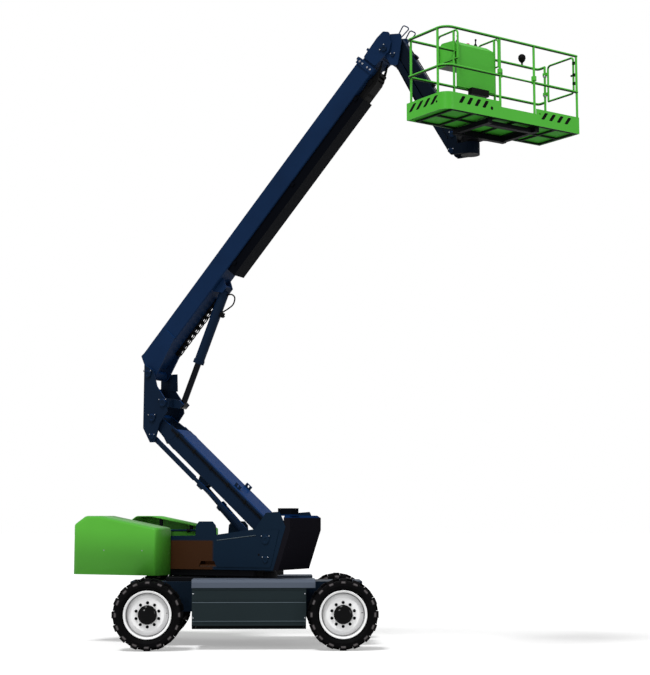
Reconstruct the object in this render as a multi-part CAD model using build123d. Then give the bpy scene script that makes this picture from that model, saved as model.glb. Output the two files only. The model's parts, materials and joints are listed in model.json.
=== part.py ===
# Articulated boom lift with a telescopic main boom and a jib, in the pose of the photograph.
# Millimetres, +Z up, +X towards the drive axle end, +Y to the far side, origin on the ground
# under the slewing axis. The upper structure is drawn straight along +X and then slewed.
import os
from math import atan2, cos, degrees, hypot, radians, sin
from build123d import *

# Pose of the machine
SLEW = -28.0
LOWER_ANGLE = 41.0
MAIN_ANGLE = 48.6
JIB_ANGLE = -59.7
PLATFORM_TURN = -29.3

# Running gear
WHEEL_BASE = 2750.0
TYRE_RADIUS = 500.0
TYRE_WIDTH = 350.0
TYRE_OUTER_FACE = 1220.0
RIM_RADIUS = 318.0
RIM_FLANGE = 338.0
RIM_WIDTH = 300.0
HUB_RADIUS = 128.0
TYRE_SIDES = 24
LUG_COUNT = 16
LUG_LENGTH = 92.0
LUG_HEIGHT = 36.0
LUG_PROUD = 3.0
SPINDLE_RADIUS = 45.0
KINGPIN_Y = 905.0
KINGPIN_RADIUS = 30.0
STEER_ARM = 190.0
TIE_ROD_Z = 430.0

# Chassis
FRAME_HALF_WIDTH = 400.0
FRAME_HALF_LENGTH = 1690.0
FRAME_BOTTOM = 500.0
FRAME_TOP = 930.0
FRAME_WALL = 22.0
BOX_REAR = -760.0
BOX_FRONT = 855.0
BOX_LID_FRONT = 985.0
BOX_FACE = 1060.0
BOX_BOTTOM = 290.0
BOX_LID_BOTTOM = 868.0
BOX_TOP = 982.0
RING_RADIUS = 450.0
RING_TOP = 1060.0

# Turntable
DECK_BOTTOM = 1100.0
DECK_TOP = 1140.0
PLATE_Y = 500.0
PLATE_T = 25.0
DOUBLER_T = 8.0
TAIL_X = -2470.0
COVER_TOP = 1885.0
HOOD_FRONT = -1030.0
HOOD_FACE = 920.0
HOOD_BOTTOM = 1040.0
HOOD_FRONT_TOP = 1690.0
HOOD_TOP = 1870.0
HOOD_WALL = 14.0
HOOD_CORNER = 90.0
HOOD_ROUND = 45.0
HOOD_RAIL_Y = 476.0
HOOD_RAIL_Z = 1655.0

# Linkage points in the boom plane (x, z), each from the pin before it or along its own boom
LOWER_PIVOT = (580.0, 1533.0)
LOWER_LENGTH = 2800.0
LINK_DROP = 285.0
LINK_PIN = 28.0
LOWER_LIFT_BASE = (360.0, 1232.0)
LOWER_LIFT_LUG = (-1550.0, -272.0)
UPRIGHT_RISE = (-87.0, 680.0)
MAIN_FOOT_OFFSET = (389.0, 207.0)
MAIN_LIFT_LUG = (1764.0, -64.0)
NOSE_PIN = (6100.0, 100.0)
JIB_RISE = (141.0, 138.0)
JIB_LENGTH = 1780.0
JIB_LINK_OFFSET = (-20.0, -240.0)
JIB_FOOT_OFFSET = (15.0, -345.0)
JIB_LIFT_LUG = (1240.0, -205.0)
ROTATOR_REACH = 222.0
FLOOR_DROP = 23.0

# Booms
LOWER_WIDTH = 400.0
LOWER_HEIGHT = 270.0
BOSS_T = 4.0
MAIN_WIDTH = 360.0
MAIN_HEIGHT = 300.0
MAIN_AXIS = 180.0
MAIN_START = 120.0
MAIN_END = 5780.0
INNER_WIDTH = 300.0
INNER_HEIGHT = 240.0
INNER_START = 900.0
INNER_END = 6000.0
TRAY_START = 2050.0
TRAY_END = 5330.0
TRAY_HEIGHT = 150.0
TRAY_WALL = 8.0
CHAIN_START = 430.0
CHAIN_PITCH = 105.0
CHAIN_LINKS = 10
CHAIN_HEIGHT = 76.0
CHAIN_WALL = 6.0
CHAIN_NEAR = 106.0
CHAIN_FAR = 166.0
HOSE_LOOPS = 2
COLLAR_PROUD = 20.0
JIB_WIDTH = 160.0
JIB_HEIGHT = 190.0

# Platform, measured from the rotator axis and the underside of the floor
FLOOR_NEAR = 165.0
FLOOR_FAR = 995.0
FLOOR_LEFT = -1275.0
FLOOR_RIGHT = 1185.0
FLOOR_T = 40.0
TOE_HEIGHT = 240.0
TOE_LOW = 165.0
TOE_T = 10.0
RAIL_TOP = 1140.0
RAIL_MID = 612.0
RAIL_R = 19.0
CORNER_R = 150.0
RAIL_BEND = 45.0
RAIL_JOINT_X = 560.0
ENTRY_LEFT = -283.0
ENTRY_RIGHT = 348.0
GATE_POST_X = 324.0
GATE_LOW = 612.0
GATE_HIGH = 1139.0
HOOP_LEFT = -440.0
HOOP_RIGHT = 315.0
HOOP_TOP = 1430.0
PANEL_BOTTOM = 622.0
PANEL_TOP = 1264.0

PIN_CLEARANCE = 0.4


def box(x0, x1, y0, y1, z0, z1):
    size = Box(x1 - x0, y1 - y0, z1 - z0)
    return Pos((x0 + x1) / 2, (y0 + y1) / 2, (z0 + z1) / 2) * size


def side_plate(points, y0, y1):
    return Pos(0, y1, 0) * extrude(Plane.XZ * Polygon(*points, align=None), y1 - y0, dir=(0, -1, 0))


def floor_plate(points, z0, z1):
    return Pos(0, 0, z0) * extrude(Polygon(*points, align=None), z1 - z0, dir=(0, 0, 1))


def rod_y(x, z, radius, y0, y1):
    return Pos(x, (y0 + y1) / 2, z) * Rot(90, 0, 0) * Cylinder(radius, y1 - y0)


def rod_z(x, y, radius, z0, z1):
    return Pos(x, y, (z0 + z1) / 2) * Cylinder(radius, z1 - z0)


def rod_x(y, z, radius, x0, x1):
    return Pos((x0 + x1) / 2, y, z) * Rot(0, 90, 0) * Cylinder(radius, x1 - x0)


def bent_tube(points, bend, radius):
    path = FilletPolyline(*points, radius=bend)
    return sweep(Plane(path @ 0, z_dir=path % 0) * Circle(radius), path)


def mirrored(shape):
    return mirror(shape, Plane.XZ)


def both(shape):
    return shape + mirrored(shape)


def pair(shape):
    return Compound(children=[shape.solid(), mirrored(shape).solid()])


def upper(shape):
    return Rot(0, 0, SLEW) * shape


def at(point, angle):
    return Pos(point[0], 0, point[1]) * Rot(0, -angle, 0)


def in_plane(origin, angle, point):
    c = cos(radians(angle))
    s = sin(radians(angle))
    return (origin[0] + point[0] * c - point[1] * s, origin[1] + point[0] * s + point[1] * c)


def capsule(length, r0, r1, y0, y1):
    bar = Plane.XZ * make_hull((Circle(r0) + Pos(length, 0) * Circle(r1)).edges())
    return Pos(0, y1, 0) * extrude(bar, y1 - y0, dir=(0, -1, 0))


def box_tube(x0, x1, width, height, wall, corner):
    outer = RectangleRounded(width, height, corner)
    inner = RectangleRounded(width - 2 * wall, height - 2 * wall, max(corner - wall, 2))
    tube = extrude(Plane.YZ * (outer - inner), x1 - x0)
    return Pos(x0, 0, 0) * tube


def rounded_plate(points, radius, y0, y1):
    face = Plane.XZ * fillet(Polygon(*points, align=None).vertices(), radius)
    return Pos(0, y1, 0) * extrude(face, y1 - y0, dir=(0, -1, 0))


LOWER_TOP = in_plane(LOWER_PIVOT, 180 - LOWER_ANGLE, (LOWER_LENGTH, 0))
MAIN_PIVOT = in_plane(LOWER_TOP, 0, UPRIGHT_RISE)
MAIN_LIFT_FOOT = in_plane(LOWER_TOP, 0, MAIN_FOOT_OFFSET)
NOSE_AT = in_plane(MAIN_PIVOT, MAIN_ANGLE, NOSE_PIN)
JIB_PIVOT = in_plane(NOSE_AT, 0, JIB_RISE)
JIB_LIFT_BASE = in_plane(JIB_PIVOT, 0, JIB_FOOT_OFFSET)
JIB_END = in_plane(JIB_PIVOT, JIB_ANGLE, (JIB_LENGTH, 0))
JIB_LINK_TOP = in_plane(JIB_PIVOT, 0, JIB_LINK_OFFSET)
JIB_LINK_END = in_plane(JIB_END, 0, JIB_LINK_OFFSET)
LOWER_LUG_AT = in_plane(LOWER_PIVOT, -LOWER_ANGLE, LOWER_LIFT_LUG)
MAIN_LUG_AT = in_plane(MAIN_PIVOT, MAIN_ANGLE, MAIN_LIFT_LUG)
JIB_LUG_AT = in_plane(JIB_PIVOT, JIB_ANGLE, JIB_LIFT_LUG)
ROTATOR_X = JIB_END[0] + ROTATOR_REACH
FLOOR_Z = JIB_END[1] - FLOOR_DROP
LINK_Y = LOWER_WIDTH / 2 + 6
LINK_T = 20.0
UPRIGHT_Y = LINK_Y + LINK_T + 6
UPRIGHT_T = 26.0
WHEEL_Y = TYRE_OUTER_FACE - TYRE_WIDTH / 2
AXLE_X = WHEEL_BASE / 2


# Chassis
def chassis_frame():
    half = FRAME_HALF_LENGTH
    wide = FRAME_HALF_WIDTH
    body = box(-half, half, -wide, wide, FRAME_BOTTOM, FRAME_TOP)
    hollow = box(-half + 30, half - 30, -wide + FRAME_WALL, wide - FRAME_WALL, FRAME_BOTTOM - 1,
        FRAME_TOP - 25)
    frame = body - hollow
    for x in (-AXLE_X + 180, -450, 450, AXLE_X - 180):
        frame += box(x - 10, x + 10, -wide, wide, FRAME_BOTTOM, FRAME_TOP)
    frame += Pos(0, 0, FRAME_TOP + 10) * Cylinder(RING_RADIUS + 25, 20)
    for x in (-half, half):
        for y in (-300, 300):
            lug = Pos(x, y, 610) * Box(240, 30, 120)
            frame += lug
    for x in (-half - 75, half + 75):
        frame -= rod_y(x, 610, 28, -400, 400)
    return frame


def battery_box():
    inner = FRAME_HALF_WIDTH
    shell = box(BOX_REAR, BOX_FRONT, inner, BOX_FACE, BOX_BOTTOM, BOX_LID_BOTTOM)
    shell = chamfer(shell.faces().sort_by(Axis.Y)[-1].edges().filter_by(Axis.X).sort_by(Axis.Z)[0], 60)
    shell -= box(BOX_REAR + 14, BOX_FRONT - 14, inner - 1, BOX_FACE - 14, BOX_BOTTOM + 14,
        BOX_LID_BOTTOM - 10)
    rib = box(BOX_REAR + 30, BOX_FRONT - 30, BOX_FACE - 8, BOX_FACE + 6, 0, 14)
    for z in (385, 680, 838):
        shell += Pos(0, 0, z) * rib
    lid = box(BOX_REAR - 6, BOX_LID_FRONT, inner + 90, BOX_FACE + 12, BOX_LID_BOTTOM - 5, BOX_TOP)
    lid = chamfer(lid.faces().sort_by(Axis.Y)[-1].edges().filter_by(Axis.X).sort_by(Axis.Z)[-1], 40)
    shell += lid
    shell -= box(BOX_REAR + 14, BOX_LID_FRONT - 16, inner + 106, BOX_FACE - 30, BOX_LID_BOTTOM,
        BOX_TOP - 14)
    shell -= box(BOX_REAR + 14, BOX_FRONT - 14, inner + 106, BOX_FACE - 30, BOX_LID_BOTTOM - 20,
        BOX_TOP - 14)
    return shell


def battery_pack():
    return box(BOX_REAR + 60, BOX_FRONT - 60, FRAME_HALF_WIDTH + 40, BOX_FACE - 110, BOX_BOTTOM + 14, 820)


def slew_ring():
    ring = Cylinder(RING_RADIUS, RING_TOP - FRAME_TOP - 20) - Cylinder(RING_RADIUS - 90, 400)
    return Pos(0, 0, (RING_TOP + FRAME_TOP + 20) / 2) * ring


def steer_axle():
    beam = box(-AXLE_X - 90, -AXLE_X + 90, -760, 760, 380, FRAME_BOTTOM)
    yoke = box(-AXLE_X - 75, -AXLE_X + 75, 720, 760, 340, 660)
    for z in (340, 630):
        yoke += box(-AXLE_X - 75, -AXLE_X + 75, 740, KINGPIN_Y, z, z + 30)
        yoke += rod_z(-AXLE_X, KINGPIN_Y, 75, z, z + 30)
    yoke -= rod_z(-AXLE_X, KINGPIN_Y, KINGPIN_RADIUS + PIN_CLEARANCE, 300, 700)
    return beam + yoke + mirrored(yoke)


def drive_axle():
    beam = box(AXLE_X - 90, AXLE_X + 90, -640, 640, 380, FRAME_BOTTOM)
    motor = rod_y(AXLE_X, TYRE_RADIUS, 135, 560, 850) + rod_y(AXLE_X, TYRE_RADIUS, 160, 620, 660)
    motor += rod_y(AXLE_X, TYRE_RADIUS, SPINDLE_RADIUS, 840, TYRE_OUTER_FACE - 90)
    motor -= box(AXLE_X - 200, AXLE_X + 200, -100, FRAME_HALF_WIDTH + 5, FRAME_BOTTOM, 800)
    return beam + motor + mirrored(motor)


def knuckle():
    block = rod_z(-AXLE_X, KINGPIN_Y, 62, 376, 624)
    block += rod_z(-AXLE_X, KINGPIN_Y, KINGPIN_RADIUS, 330, 670)
    block += rod_y(-AXLE_X, TYRE_RADIUS, SPINDLE_RADIUS, KINGPIN_Y, TYRE_OUTER_FACE - 90)
    block += box(-AXLE_X, -AXLE_X + STEER_ARM, KINGPIN_Y - 25, KINGPIN_Y + 25, TIE_ROD_Z - 45,
        TIE_ROD_Z - 20)
    block += rod_z(-AXLE_X + STEER_ARM, KINGPIN_Y, 34, TIE_ROD_Z - 45, TIE_ROD_Z - 20)
    block += rod_z(-AXLE_X + STEER_ARM, KINGPIN_Y, 14, TIE_ROD_Z - 25, TIE_ROD_Z + 28)
    return block


def tie_rod():
    x = -AXLE_X + STEER_ARM
    rod = rod_y(x, TIE_ROD_Z, 18, -KINGPIN_Y, KINGPIN_Y)
    for y in (-KINGPIN_Y, KINGPIN_Y):
        rod += rod_z(x, y, 30, TIE_ROD_Z - 15, TIE_ROD_Z + 18)
    for y in (-KINGPIN_Y, KINGPIN_Y):
        rod -= rod_z(x, y, 14 + PIN_CLEARANCE, TIE_ROD_Z - 40, TIE_ROD_Z + 40)
    return rod


def spun(points):
    return revolve(Plane.XZ * Polygon(*points, align=None), Axis.Z)


# Wheel profiles are (radius, distance outwards from the wheel's middle plane)
def wheel_rim():
    half = RIM_WIDTH / 2
    barrel = RIM_RADIUS - 12
    disc = 95.0
    points = [(HUB_RADIUS - 30, disc - 30), (225, disc - 30), (barrel, disc - 75), (barrel, -half + 8)]
    points += [(RIM_FLANGE - 8, -half - 4), (RIM_FLANGE, -half), (RIM_FLANGE, -half + 8),
        (RIM_RADIUS, -half + 16)]
    points += [(RIM_RADIUS, half - 16), (RIM_FLANGE, half - 8), (RIM_FLANGE, half),
        (RIM_FLANGE - 8, half + 4)]
    points += [(barrel, half - 8), (barrel - 4, disc - 40), (232, disc), (HUB_RADIUS - 30, disc)]
    rim = spun(points)
    hub = [(0, disc - 60), (HUB_RADIUS, disc - 60), (HUB_RADIUS, disc + 42),
        (HUB_RADIUS - 35, disc + 64), (0, disc + 70)]
    rim += spun(hub)
    rim -= Pos(0, 0, disc - 60) * Cylinder(SPINDLE_RADIUS + 1, 120)
    return rim


def wheel_tyre():
    half = TYRE_WIDTH / 2
    bead = RIM_WIDTH / 2 - 23
    base = TYRE_RADIUS - LUG_HEIGHT
    stations = [(-bead, RIM_FLANGE + 2), (-half + 8, RIM_FLANGE + 30), (-half, base - 32),
        (-half + 22, base)]
    stations += [(half - 22, base), (half, base - 32), (half - 8, RIM_FLANGE + 30),
        (bead, RIM_FLANGE + 2)]
    rings = [Pos(0, 0, a) * RegularPolygon(r, TYRE_SIDES) for a, r in stations]
    tyre = loft(rings, ruled=True)
    tyre -= Pos(0, 0, -half) * extrude(RegularPolygon(RIM_RADIUS + 0.5, TYRE_SIDES, major_radius=False),
        TYRE_WIDTH)
    profile = [(base - 10, 10), (TYRE_RADIUS, 10), (TYRE_RADIUS, half - 38), (TYRE_RADIUS - 24, half - 5)]
    profile += [(base - 26, half + LUG_PROUD), (base - 26, half - 20)]
    lug = Plane.XZ * Polygon(*profile, align=None)
    lug = Pos(0, LUG_LENGTH / 2, 0) * extrude(lug, LUG_LENGTH, dir=(0, -1, 0))
    step = 360 / LUG_COUNT
    for i in range(LUG_COUNT):
        tyre += Rot(0, 0, 90 + step * i) * lug
        tyre += mirror(Rot(0, 0, 90 + step * (i + 0.5)) * lug, Plane.XY)
    return tyre


def wheel_at(shape, x, side):
    turn = Rot(-90, 0, 0) if side > 0 else Rot(90, 0, 0)
    return Pos(x, side * WHEEL_Y, TYRE_RADIUS) * turn * shape


# Turntable
def turntable_frame():
    deck = box(HOOD_FRONT - 400, 690, -PLATE_Y, PLATE_Y, DECK_BOTTOM, DECK_TOP)
    deck += tail_block(HOOD_WALL + 16, 0, DECK_BOTTOM, DECK_TOP)
    deck += Pos(0, 0, (RING_TOP + 5 + DECK_BOTTOM) / 2) * Cylinder(RING_RADIUS - 20,
        DECK_BOTTOM - RING_TOP - 5)
    outline = [(-1030, DECK_BOTTOM), (-1030, 1585), (-600, 1592), (-590, 1740), (-540, 1800),
        (-320, 1800), (-265, 1740)]
    outline += [(-255, 1604), (400, 1690), (580, 1925), (790, 1940), (900, 1725), (700, DECK_BOTTOM)]
    doubler = [(-290, 1235), (-290, 1522), (490, 1590), (620, 1680), (800, 1680), (660, DECK_TOP),
        (-230, DECK_TOP)]
    plate = side_plate(outline, PLATE_Y - PLATE_T, PLATE_Y) + side_plate(doubler, PLATE_Y - 5,
        PLATE_Y + DOUBLER_T)
    notch = [(-540, DECK_TOP), (-500, 1222), (-270, 1222), (-235, DECK_TOP)]
    deck += both(plate - side_plate(notch, PLATE_Y - 60, PLATE_Y + 60))
    deck += box(-1030, -1005, -PLATE_Y, PLATE_Y, DECK_TOP, DECK_TOP + 160)
    x, z = LOWER_PIVOT
    start = LINK_Y + LINK_T + 4
    deck += both(rod_y(x, z, 95, start, PLATE_Y)) + rod_y(x, z, 45, -300, 300)
    deck += both(rod_y(x, z - LINK_DROP, 60, start, PLATE_Y)
        + rod_y(x, z - LINK_DROP, LINK_PIN, LINK_Y, 300))
    x, z = LOWER_LIFT_BASE
    deck += both(box(x - 60, x + 60, 80, 110, DECK_TOP, z) + rod_y(x, z, 60, 80, 110))
    deck += rod_y(x, z, 30, -100, 100)
    for px in (-1120, -1980):
        deck += both(box(px - 12, px + 12, HOOD_RAIL_Y - 12, HOOD_RAIL_Y + 12, DECK_TOP, HOOD_RAIL_Z))
    deck += both(rod_x(HOOD_RAIL_Y, HOOD_RAIL_Z, 16, -2060, -1080))
    return deck


def tail_outline(inset, inner):
    y = HOOD_FACE - inset
    x = TAIL_X + inset
    edge = [(HOOD_FRONT - inset, y), (TAIL_X + 300, y), (x, HOOD_FACE - 300), (x, inner)]
    if inner:
        return edge + [(HOOD_FRONT - inset, inner)]
    return edge[:3] + [(px, -py) for px, py in reversed(edge[:3])]


def tail_block(inset, inner, z0, z1):
    outline = Polygon(*tail_outline(inset, inner), align=None)
    rows = outline.vertices().group_by(Axis.Y)
    corners = rows[-1] if inner else rows[-1] + rows[0]
    return Pos(0, 0, z0) * extrude(fillet(corners, HOOD_CORNER - inset), z1 - z0, dir=(0, 0, 1))


def counterweight():
    middle = box(-2400, -1080, -440, 440, DECK_TOP, 1300)
    cheek = floor_plate([(-1700, 440), (-1700, 880), (-2160, 880), (-2400, 640), (-2400, 440)],
        DECK_TOP, 1500)
    slot = box(-2000, -1960, 450, 520, DECK_TOP, 1600)
    return middle + both(cheek - slot)


def hood():
    profile = [(HOOD_FRONT, HOOD_BOTTOM), (HOOD_FRONT, HOOD_FRONT_TOP), (-1917, HOOD_TOP),
        (-2262, HOOD_TOP)]
    profile += [(TAIL_X, HOOD_TOP - 129), (TAIL_X, HOOD_BOTTOM)]
    inner = PLATE_Y + DOUBLER_T + 6
    shell = rounded_plate(profile, HOOD_ROUND, inner, HOOD_FACE) & tail_block(0, inner, 900, 2000)
    wall = HOOD_WALL
    core = [(HOOD_FRONT - wall, 900), (HOOD_FRONT - wall, HOOD_FRONT_TOP - wall),
        (-1917, HOOD_TOP - wall)]
    core += [(-2262 + 3, HOOD_TOP - wall), (TAIL_X + wall, HOOD_TOP - 139), (TAIL_X + wall, 900)]
    shell -= rounded_plate(core, HOOD_ROUND - wall, PLATE_Y, HOOD_FACE - wall) & tail_block(wall,
        PLATE_Y, 800, 2000)
    for x in (-1300, -1850):
        rise = (HOOD_TOP - HOOD_FRONT_TOP) * (HOOD_FRONT - x) / (HOOD_FRONT + 1917)
        roof = HOOD_FRONT_TOP + rise - 6
        arm = box(x - 30, x + 30, HOOD_RAIL_Y, inner + 40, HOOD_RAIL_Z - 12, HOOD_RAIL_Z + 12)
        arm += box(x - 30, x + 30, inner + 20, inner + 40, HOOD_RAIL_Z - 12, roof)
        arm = (arm + rod_x(HOOD_RAIL_Y, HOOD_RAIL_Z, 28, x - 30, x + 30))
        shell += arm - rod_x(HOOD_RAIL_Y, HOOD_RAIL_Z, 16 + PIN_CLEARANCE, x - 60, x + 60)
    return shell


def front_cover():
    outline = [(703, DECK_BOTTOM), (903, 1725), (870, 1790), (870, COVER_TOP), (930, COVER_TOP),
        (975, COVER_TOP - 35)]
    outline += [(975, 1670), (780, DECK_BOTTOM)]
    cover = side_plate(outline, -PLATE_Y, PLATE_Y)
    for y in (-PLATE_Y, PLATE_Y):
        cover -= Pos(920, y, COVER_TOP) * Rot(45, 0, 0) * Box(160, 50, 50)
    cover += box(745, 965, -440, -215, COVER_TOP - 5, COVER_TOP + 105)
    for y in (-PLATE_Y + 60, PLATE_Y - 60):
        cover += Pos(975, y, 1760) * Box(24, 50, 90)
    return cover


def slew_drive():
    drive = rod_z(-520, 330, 105, DECK_TOP, 1290) + rod_z(-520, 330, 75, 1280, 1470)
    drive += rod_z(-520, 330, 125, DECK_TOP, DECK_TOP + 30)
    return drive


def power_unit():
    unit = box(-1600, -1120, -850, -540, DECK_TOP, 1330)
    unit += rod_x(-700, 1420, 95, -1560, -1200)
    unit += box(-1540, -1220, -760, -640, 1320, 1380)
    return unit


# Lower boom and its levelling link
def lower_boom():
    back = -LOWER_LENGTH
    half = LOWER_WIDTH / 2
    boom = box_tube(back + 430, -190, LOWER_WIDTH, LOWER_HEIGHT, 12, 20)
    fork = capsule(560, 75, LOWER_HEIGHT / 2, half - 24, half)
    boom += both(Pos(back, 0, 0) * fork)
    boom += both(Pos(-260, 0, 0) * capsule(260, LOWER_HEIGHT / 2, 90, half - 24, half))
    boom += rod_y(0, 0, 80, -half, half) + rod_y(back, 0, 70, -half, half)
    lx, lz = LOWER_LIFT_LUG
    boom += both(side_plate([(lx - 120, -125), (lx + 120, -125), (lx + 50, lz - 50),
        (lx - 50, lz - 50)], 60, 86))
    boss = [(-60, -95), (50, -95), (95, -40), (95, 60), (40, 100), (-55, 100), (-95, 50), (-95, -45)]
    boss = [(back + 370 + px, pz + 20) for px, pz in boss]
    boom += both(side_plate(boss, half - 4, half + BOSS_T))
    for y in (half - 40, -half + 40):
        eye = Pos(-1010, y, LOWER_HEIGHT / 2 + 25) * Box(110, 24, 70)
        boom += eye - rod_y(-1010, LOWER_HEIGHT / 2 + 32, 20, -half, half)
    boom -= rod_y(0, 0, 45 + PIN_CLEARANCE, -400, 400)
    boom -= rod_y(back, 0, 45 + PIN_CLEARANCE, -400, 400)
    return upper(at(LOWER_PIVOT, -LOWER_ANGLE) * boom)


def level_link():
    far = LINK_Y + LINK_T
    bar = capsule(LOWER_LENGTH, 40, 40, LINK_Y, far)
    thin = box(120, LOWER_LENGTH - 120, LINK_Y - 5, far + 5, 27, 80)
    bar -= thin + mirror(thin, Plane.XY)
    bar += box(120, 980, LINK_Y, far, -38, 38)
    for x in (0, LOWER_LENGTH):
        bar -= rod_y(x, 0, LINK_PIN + PIN_CLEARANCE, LINK_Y - 50, far + 50)
    bar = Pos(-LOWER_LENGTH, 0, 0) * bar
    place = at((LOWER_PIVOT[0], LOWER_PIVOT[1] - LINK_DROP), -LOWER_ANGLE)
    return upper(place * pair(bar))


def upright():
    x, z = LOWER_TOP
    mx, mz = MAIN_PIVOT
    fx, fz = MAIN_LIFT_FOOT
    y0 = UPRIGHT_Y
    y1 = UPRIGHT_Y + UPRIGHT_T
    outline = [(x - 165, z - 150), (x - 160, mz + 150), (mx + 90, mz + 60), (x + 70, mz - 190),
        (x + 236, z + 270), (x + 261, z + 97)]
    outline += [(x + 130, z - 80), (x + 40, z - LINK_DROP - 85), (x - 40, z - LINK_DROP - 85)]
    plates = both(side_plate(outline, y0, y1))
    plates += rod_y(x, z, 45, -y1 - 12, y1 + 12) + both(rod_y(x, z - LINK_DROP, LINK_PIN, LINK_Y, y1))
    plates += rod_y(mx, mz, 45, -y1 - 12, y1 + 12)
    plates += box(x - 155, x - 120, -y1 + 12, y1 - 12, z + 140, mz - 200)
    plates += box(fx - 290, fx - 110, -y1 + 12, y1 - 12, fz - 40, fz + 90)
    plates += rod_y(fx - 200, fz + 20, 62, -y1 - 14, y1 + 14)
    guard = [(x + 20, mz - 240), (x + 20, mz + 30), (x + 140, mz + 30), (x + 150, mz - 240)]
    plates += side_plate(guard, y0 - 20, y0 + 4)
    lug = side_plate([(fx - 130, fz - 40), (fx - 130, fz + 90), (fx, fz + 62), (fx + 62, fz),
        (fx, fz - 62)], 66, 96)
    plates += both(lug)
    return upper(plates)


# Main boom
def main_boom_outer():
    half = MAIN_WIDTH / 2
    boom = Pos(0, 0, MAIN_AXIS) * box_tube(MAIN_START, MAIN_END, MAIN_WIDTH, MAIN_HEIGHT, 11, 18)
    foot = [(-70, -40), (-40, -90), (60, -90), (700, MAIN_AXIS - 140), (700, MAIN_AXIS + 60),
        (110, MAIN_AXIS + 140), (20, 130)]
    boom += both(side_plate(foot, half - 8, half + 22))
    boom += rod_y(0, 0, 75, -half - 22, half + 22)
    boom -= rod_y(0, 0, 45 + PIN_CLEARANCE, -300, 300)
    lx, lz = MAIN_LIFT_LUG
    lug = side_plate([(lx - 140, 40), (lx + 140, 40), (lx + 50, lz - 45), (lx - 50, lz - 45)], 84, 110)
    boom += both(lug)
    boom += rod_y(lx, lz, 34, -100, 100)
    wide = MAIN_WIDTH + 2 * COLLAR_PROUD
    high = MAIN_HEIGHT + 2 * COLLAR_PROUD
    collar = box_tube(MAIN_END - 90, MAIN_END + 6, wide, high, 24, 24)
    boom += Pos(0, 0, MAIN_AXIS) * collar
    top = MAIN_AXIS + MAIN_HEIGHT / 2 + 15
    for y in (-half + 50, half - 50):
        boom += Pos(MAIN_END - 25, y, top + 22) * Box(50, 40, 50)
    return upper(at(MAIN_PIVOT, MAIN_ANGLE) * boom)


def hose_carrier():
    top = MAIN_AXIS - MAIN_HEIGHT / 2
    tray = box(TRAY_START, TRAY_END, -150, 150, top - TRAY_HEIGHT, top)
    hollow = box(TRAY_START - 10, TRAY_END + 10, -150 + TRAY_WALL, 150 - TRAY_WALL, top - TRAY_HEIGHT
        + TRAY_WALL, top - TRAY_WALL)
    tray -= hollow
    for x in (TRAY_START + 150, (TRAY_START + TRAY_END) / 2, TRAY_END - 60):
        tray += both(box(x - 30, x + 30, 148, 165, top - 60, top))
    return upper(at(MAIN_PIVOT, MAIN_ANGLE) * tray)


# Flat side links with oval windows, inner and outer plates in turn, held by cross bars
def hose_chain():
    top = MAIN_AXIS - MAIN_HEIGHT / 2 - 2
    middle = top - CHAIN_HEIGHT / 2
    chain = box(CHAIN_START, CHAIN_START + 40, CHAIN_NEAR - 6, CHAIN_FAR + 2, middle - 30, top + 2)
    for i in range(CHAIN_LINKS):
        shift = 3 * (i % 2)
        x = CHAIN_START + 20 + CHAIN_PITCH * (i + 0.5)
        plate = RectangleRounded(CHAIN_PITCH + 24, CHAIN_HEIGHT, 30)
        plate -= RectangleRounded(CHAIN_PITCH - 42, CHAIN_HEIGHT - 34, 18)
        link = extrude(Plane.XZ * plate, CHAIN_WALL, dir=(0, -1, 0))
        for y in (CHAIN_NEAR + CHAIN_WALL + shift, CHAIN_FAR - shift):
            chain += Pos(x, y, middle) * link
        bar = x - CHAIN_PITCH / 2
        chain += box(bar - 6, bar + 6, CHAIN_NEAR + shift, CHAIN_FAR - shift, middle - 26, middle + 26)
    last = CHAIN_START + 20 + CHAIN_PITCH * CHAIN_LINKS
    chain += box(last - 8, last + 30, CHAIN_NEAR, CHAIN_FAR, middle - 26, top + 2)
    return upper(at(MAIN_PIVOT, MAIN_ANGLE) * chain)


# Tube that pushes the hoses along the tray, hung from the boom's nose
def hose_tube():
    top = MAIN_AXIS - MAIN_HEIGHT / 2 - COLLAR_PROUD - 8
    low = MAIN_AXIS - MAIN_HEIGHT / 2 - TRAY_HEIGHT + TRAY_WALL + 10
    end = TRAY_END + 300
    tube = box(TRAY_START + 400, end, -110, 110, low, top)
    tube -= box(TRAY_START + 390, end - 10, -100, 100, low + 10, top - 10)
    tube += rod_y(end, (low + top) / 2, (top - low) / 2, -110, 110)
    seat = MAIN_AXIS - INNER_HEIGHT / 2 - COLLAR_PROUD
    hanger = [(end - 60, low + 10), (end - 60, top), (MAIN_END + 24, top), (INNER_END - 75, seat),
        (INNER_END - 35, seat)]
    hanger = hanger[:-1] + [(INNER_END - 50, seat), (INNER_END - 140, top - 14), (end + 60, low + 10)]
    tube += both(side_plate(hanger, 96, 110))
    for i in range(HOSE_LOOPS):
        x = end + 66 * (i + 0.9)
        tube += Pos(x, 0, top - 46) * Rot(0, -25, 0) * Box(34, 194, 70)
    return upper(at(MAIN_PIVOT, MAIN_ANGLE) * tube)


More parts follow.
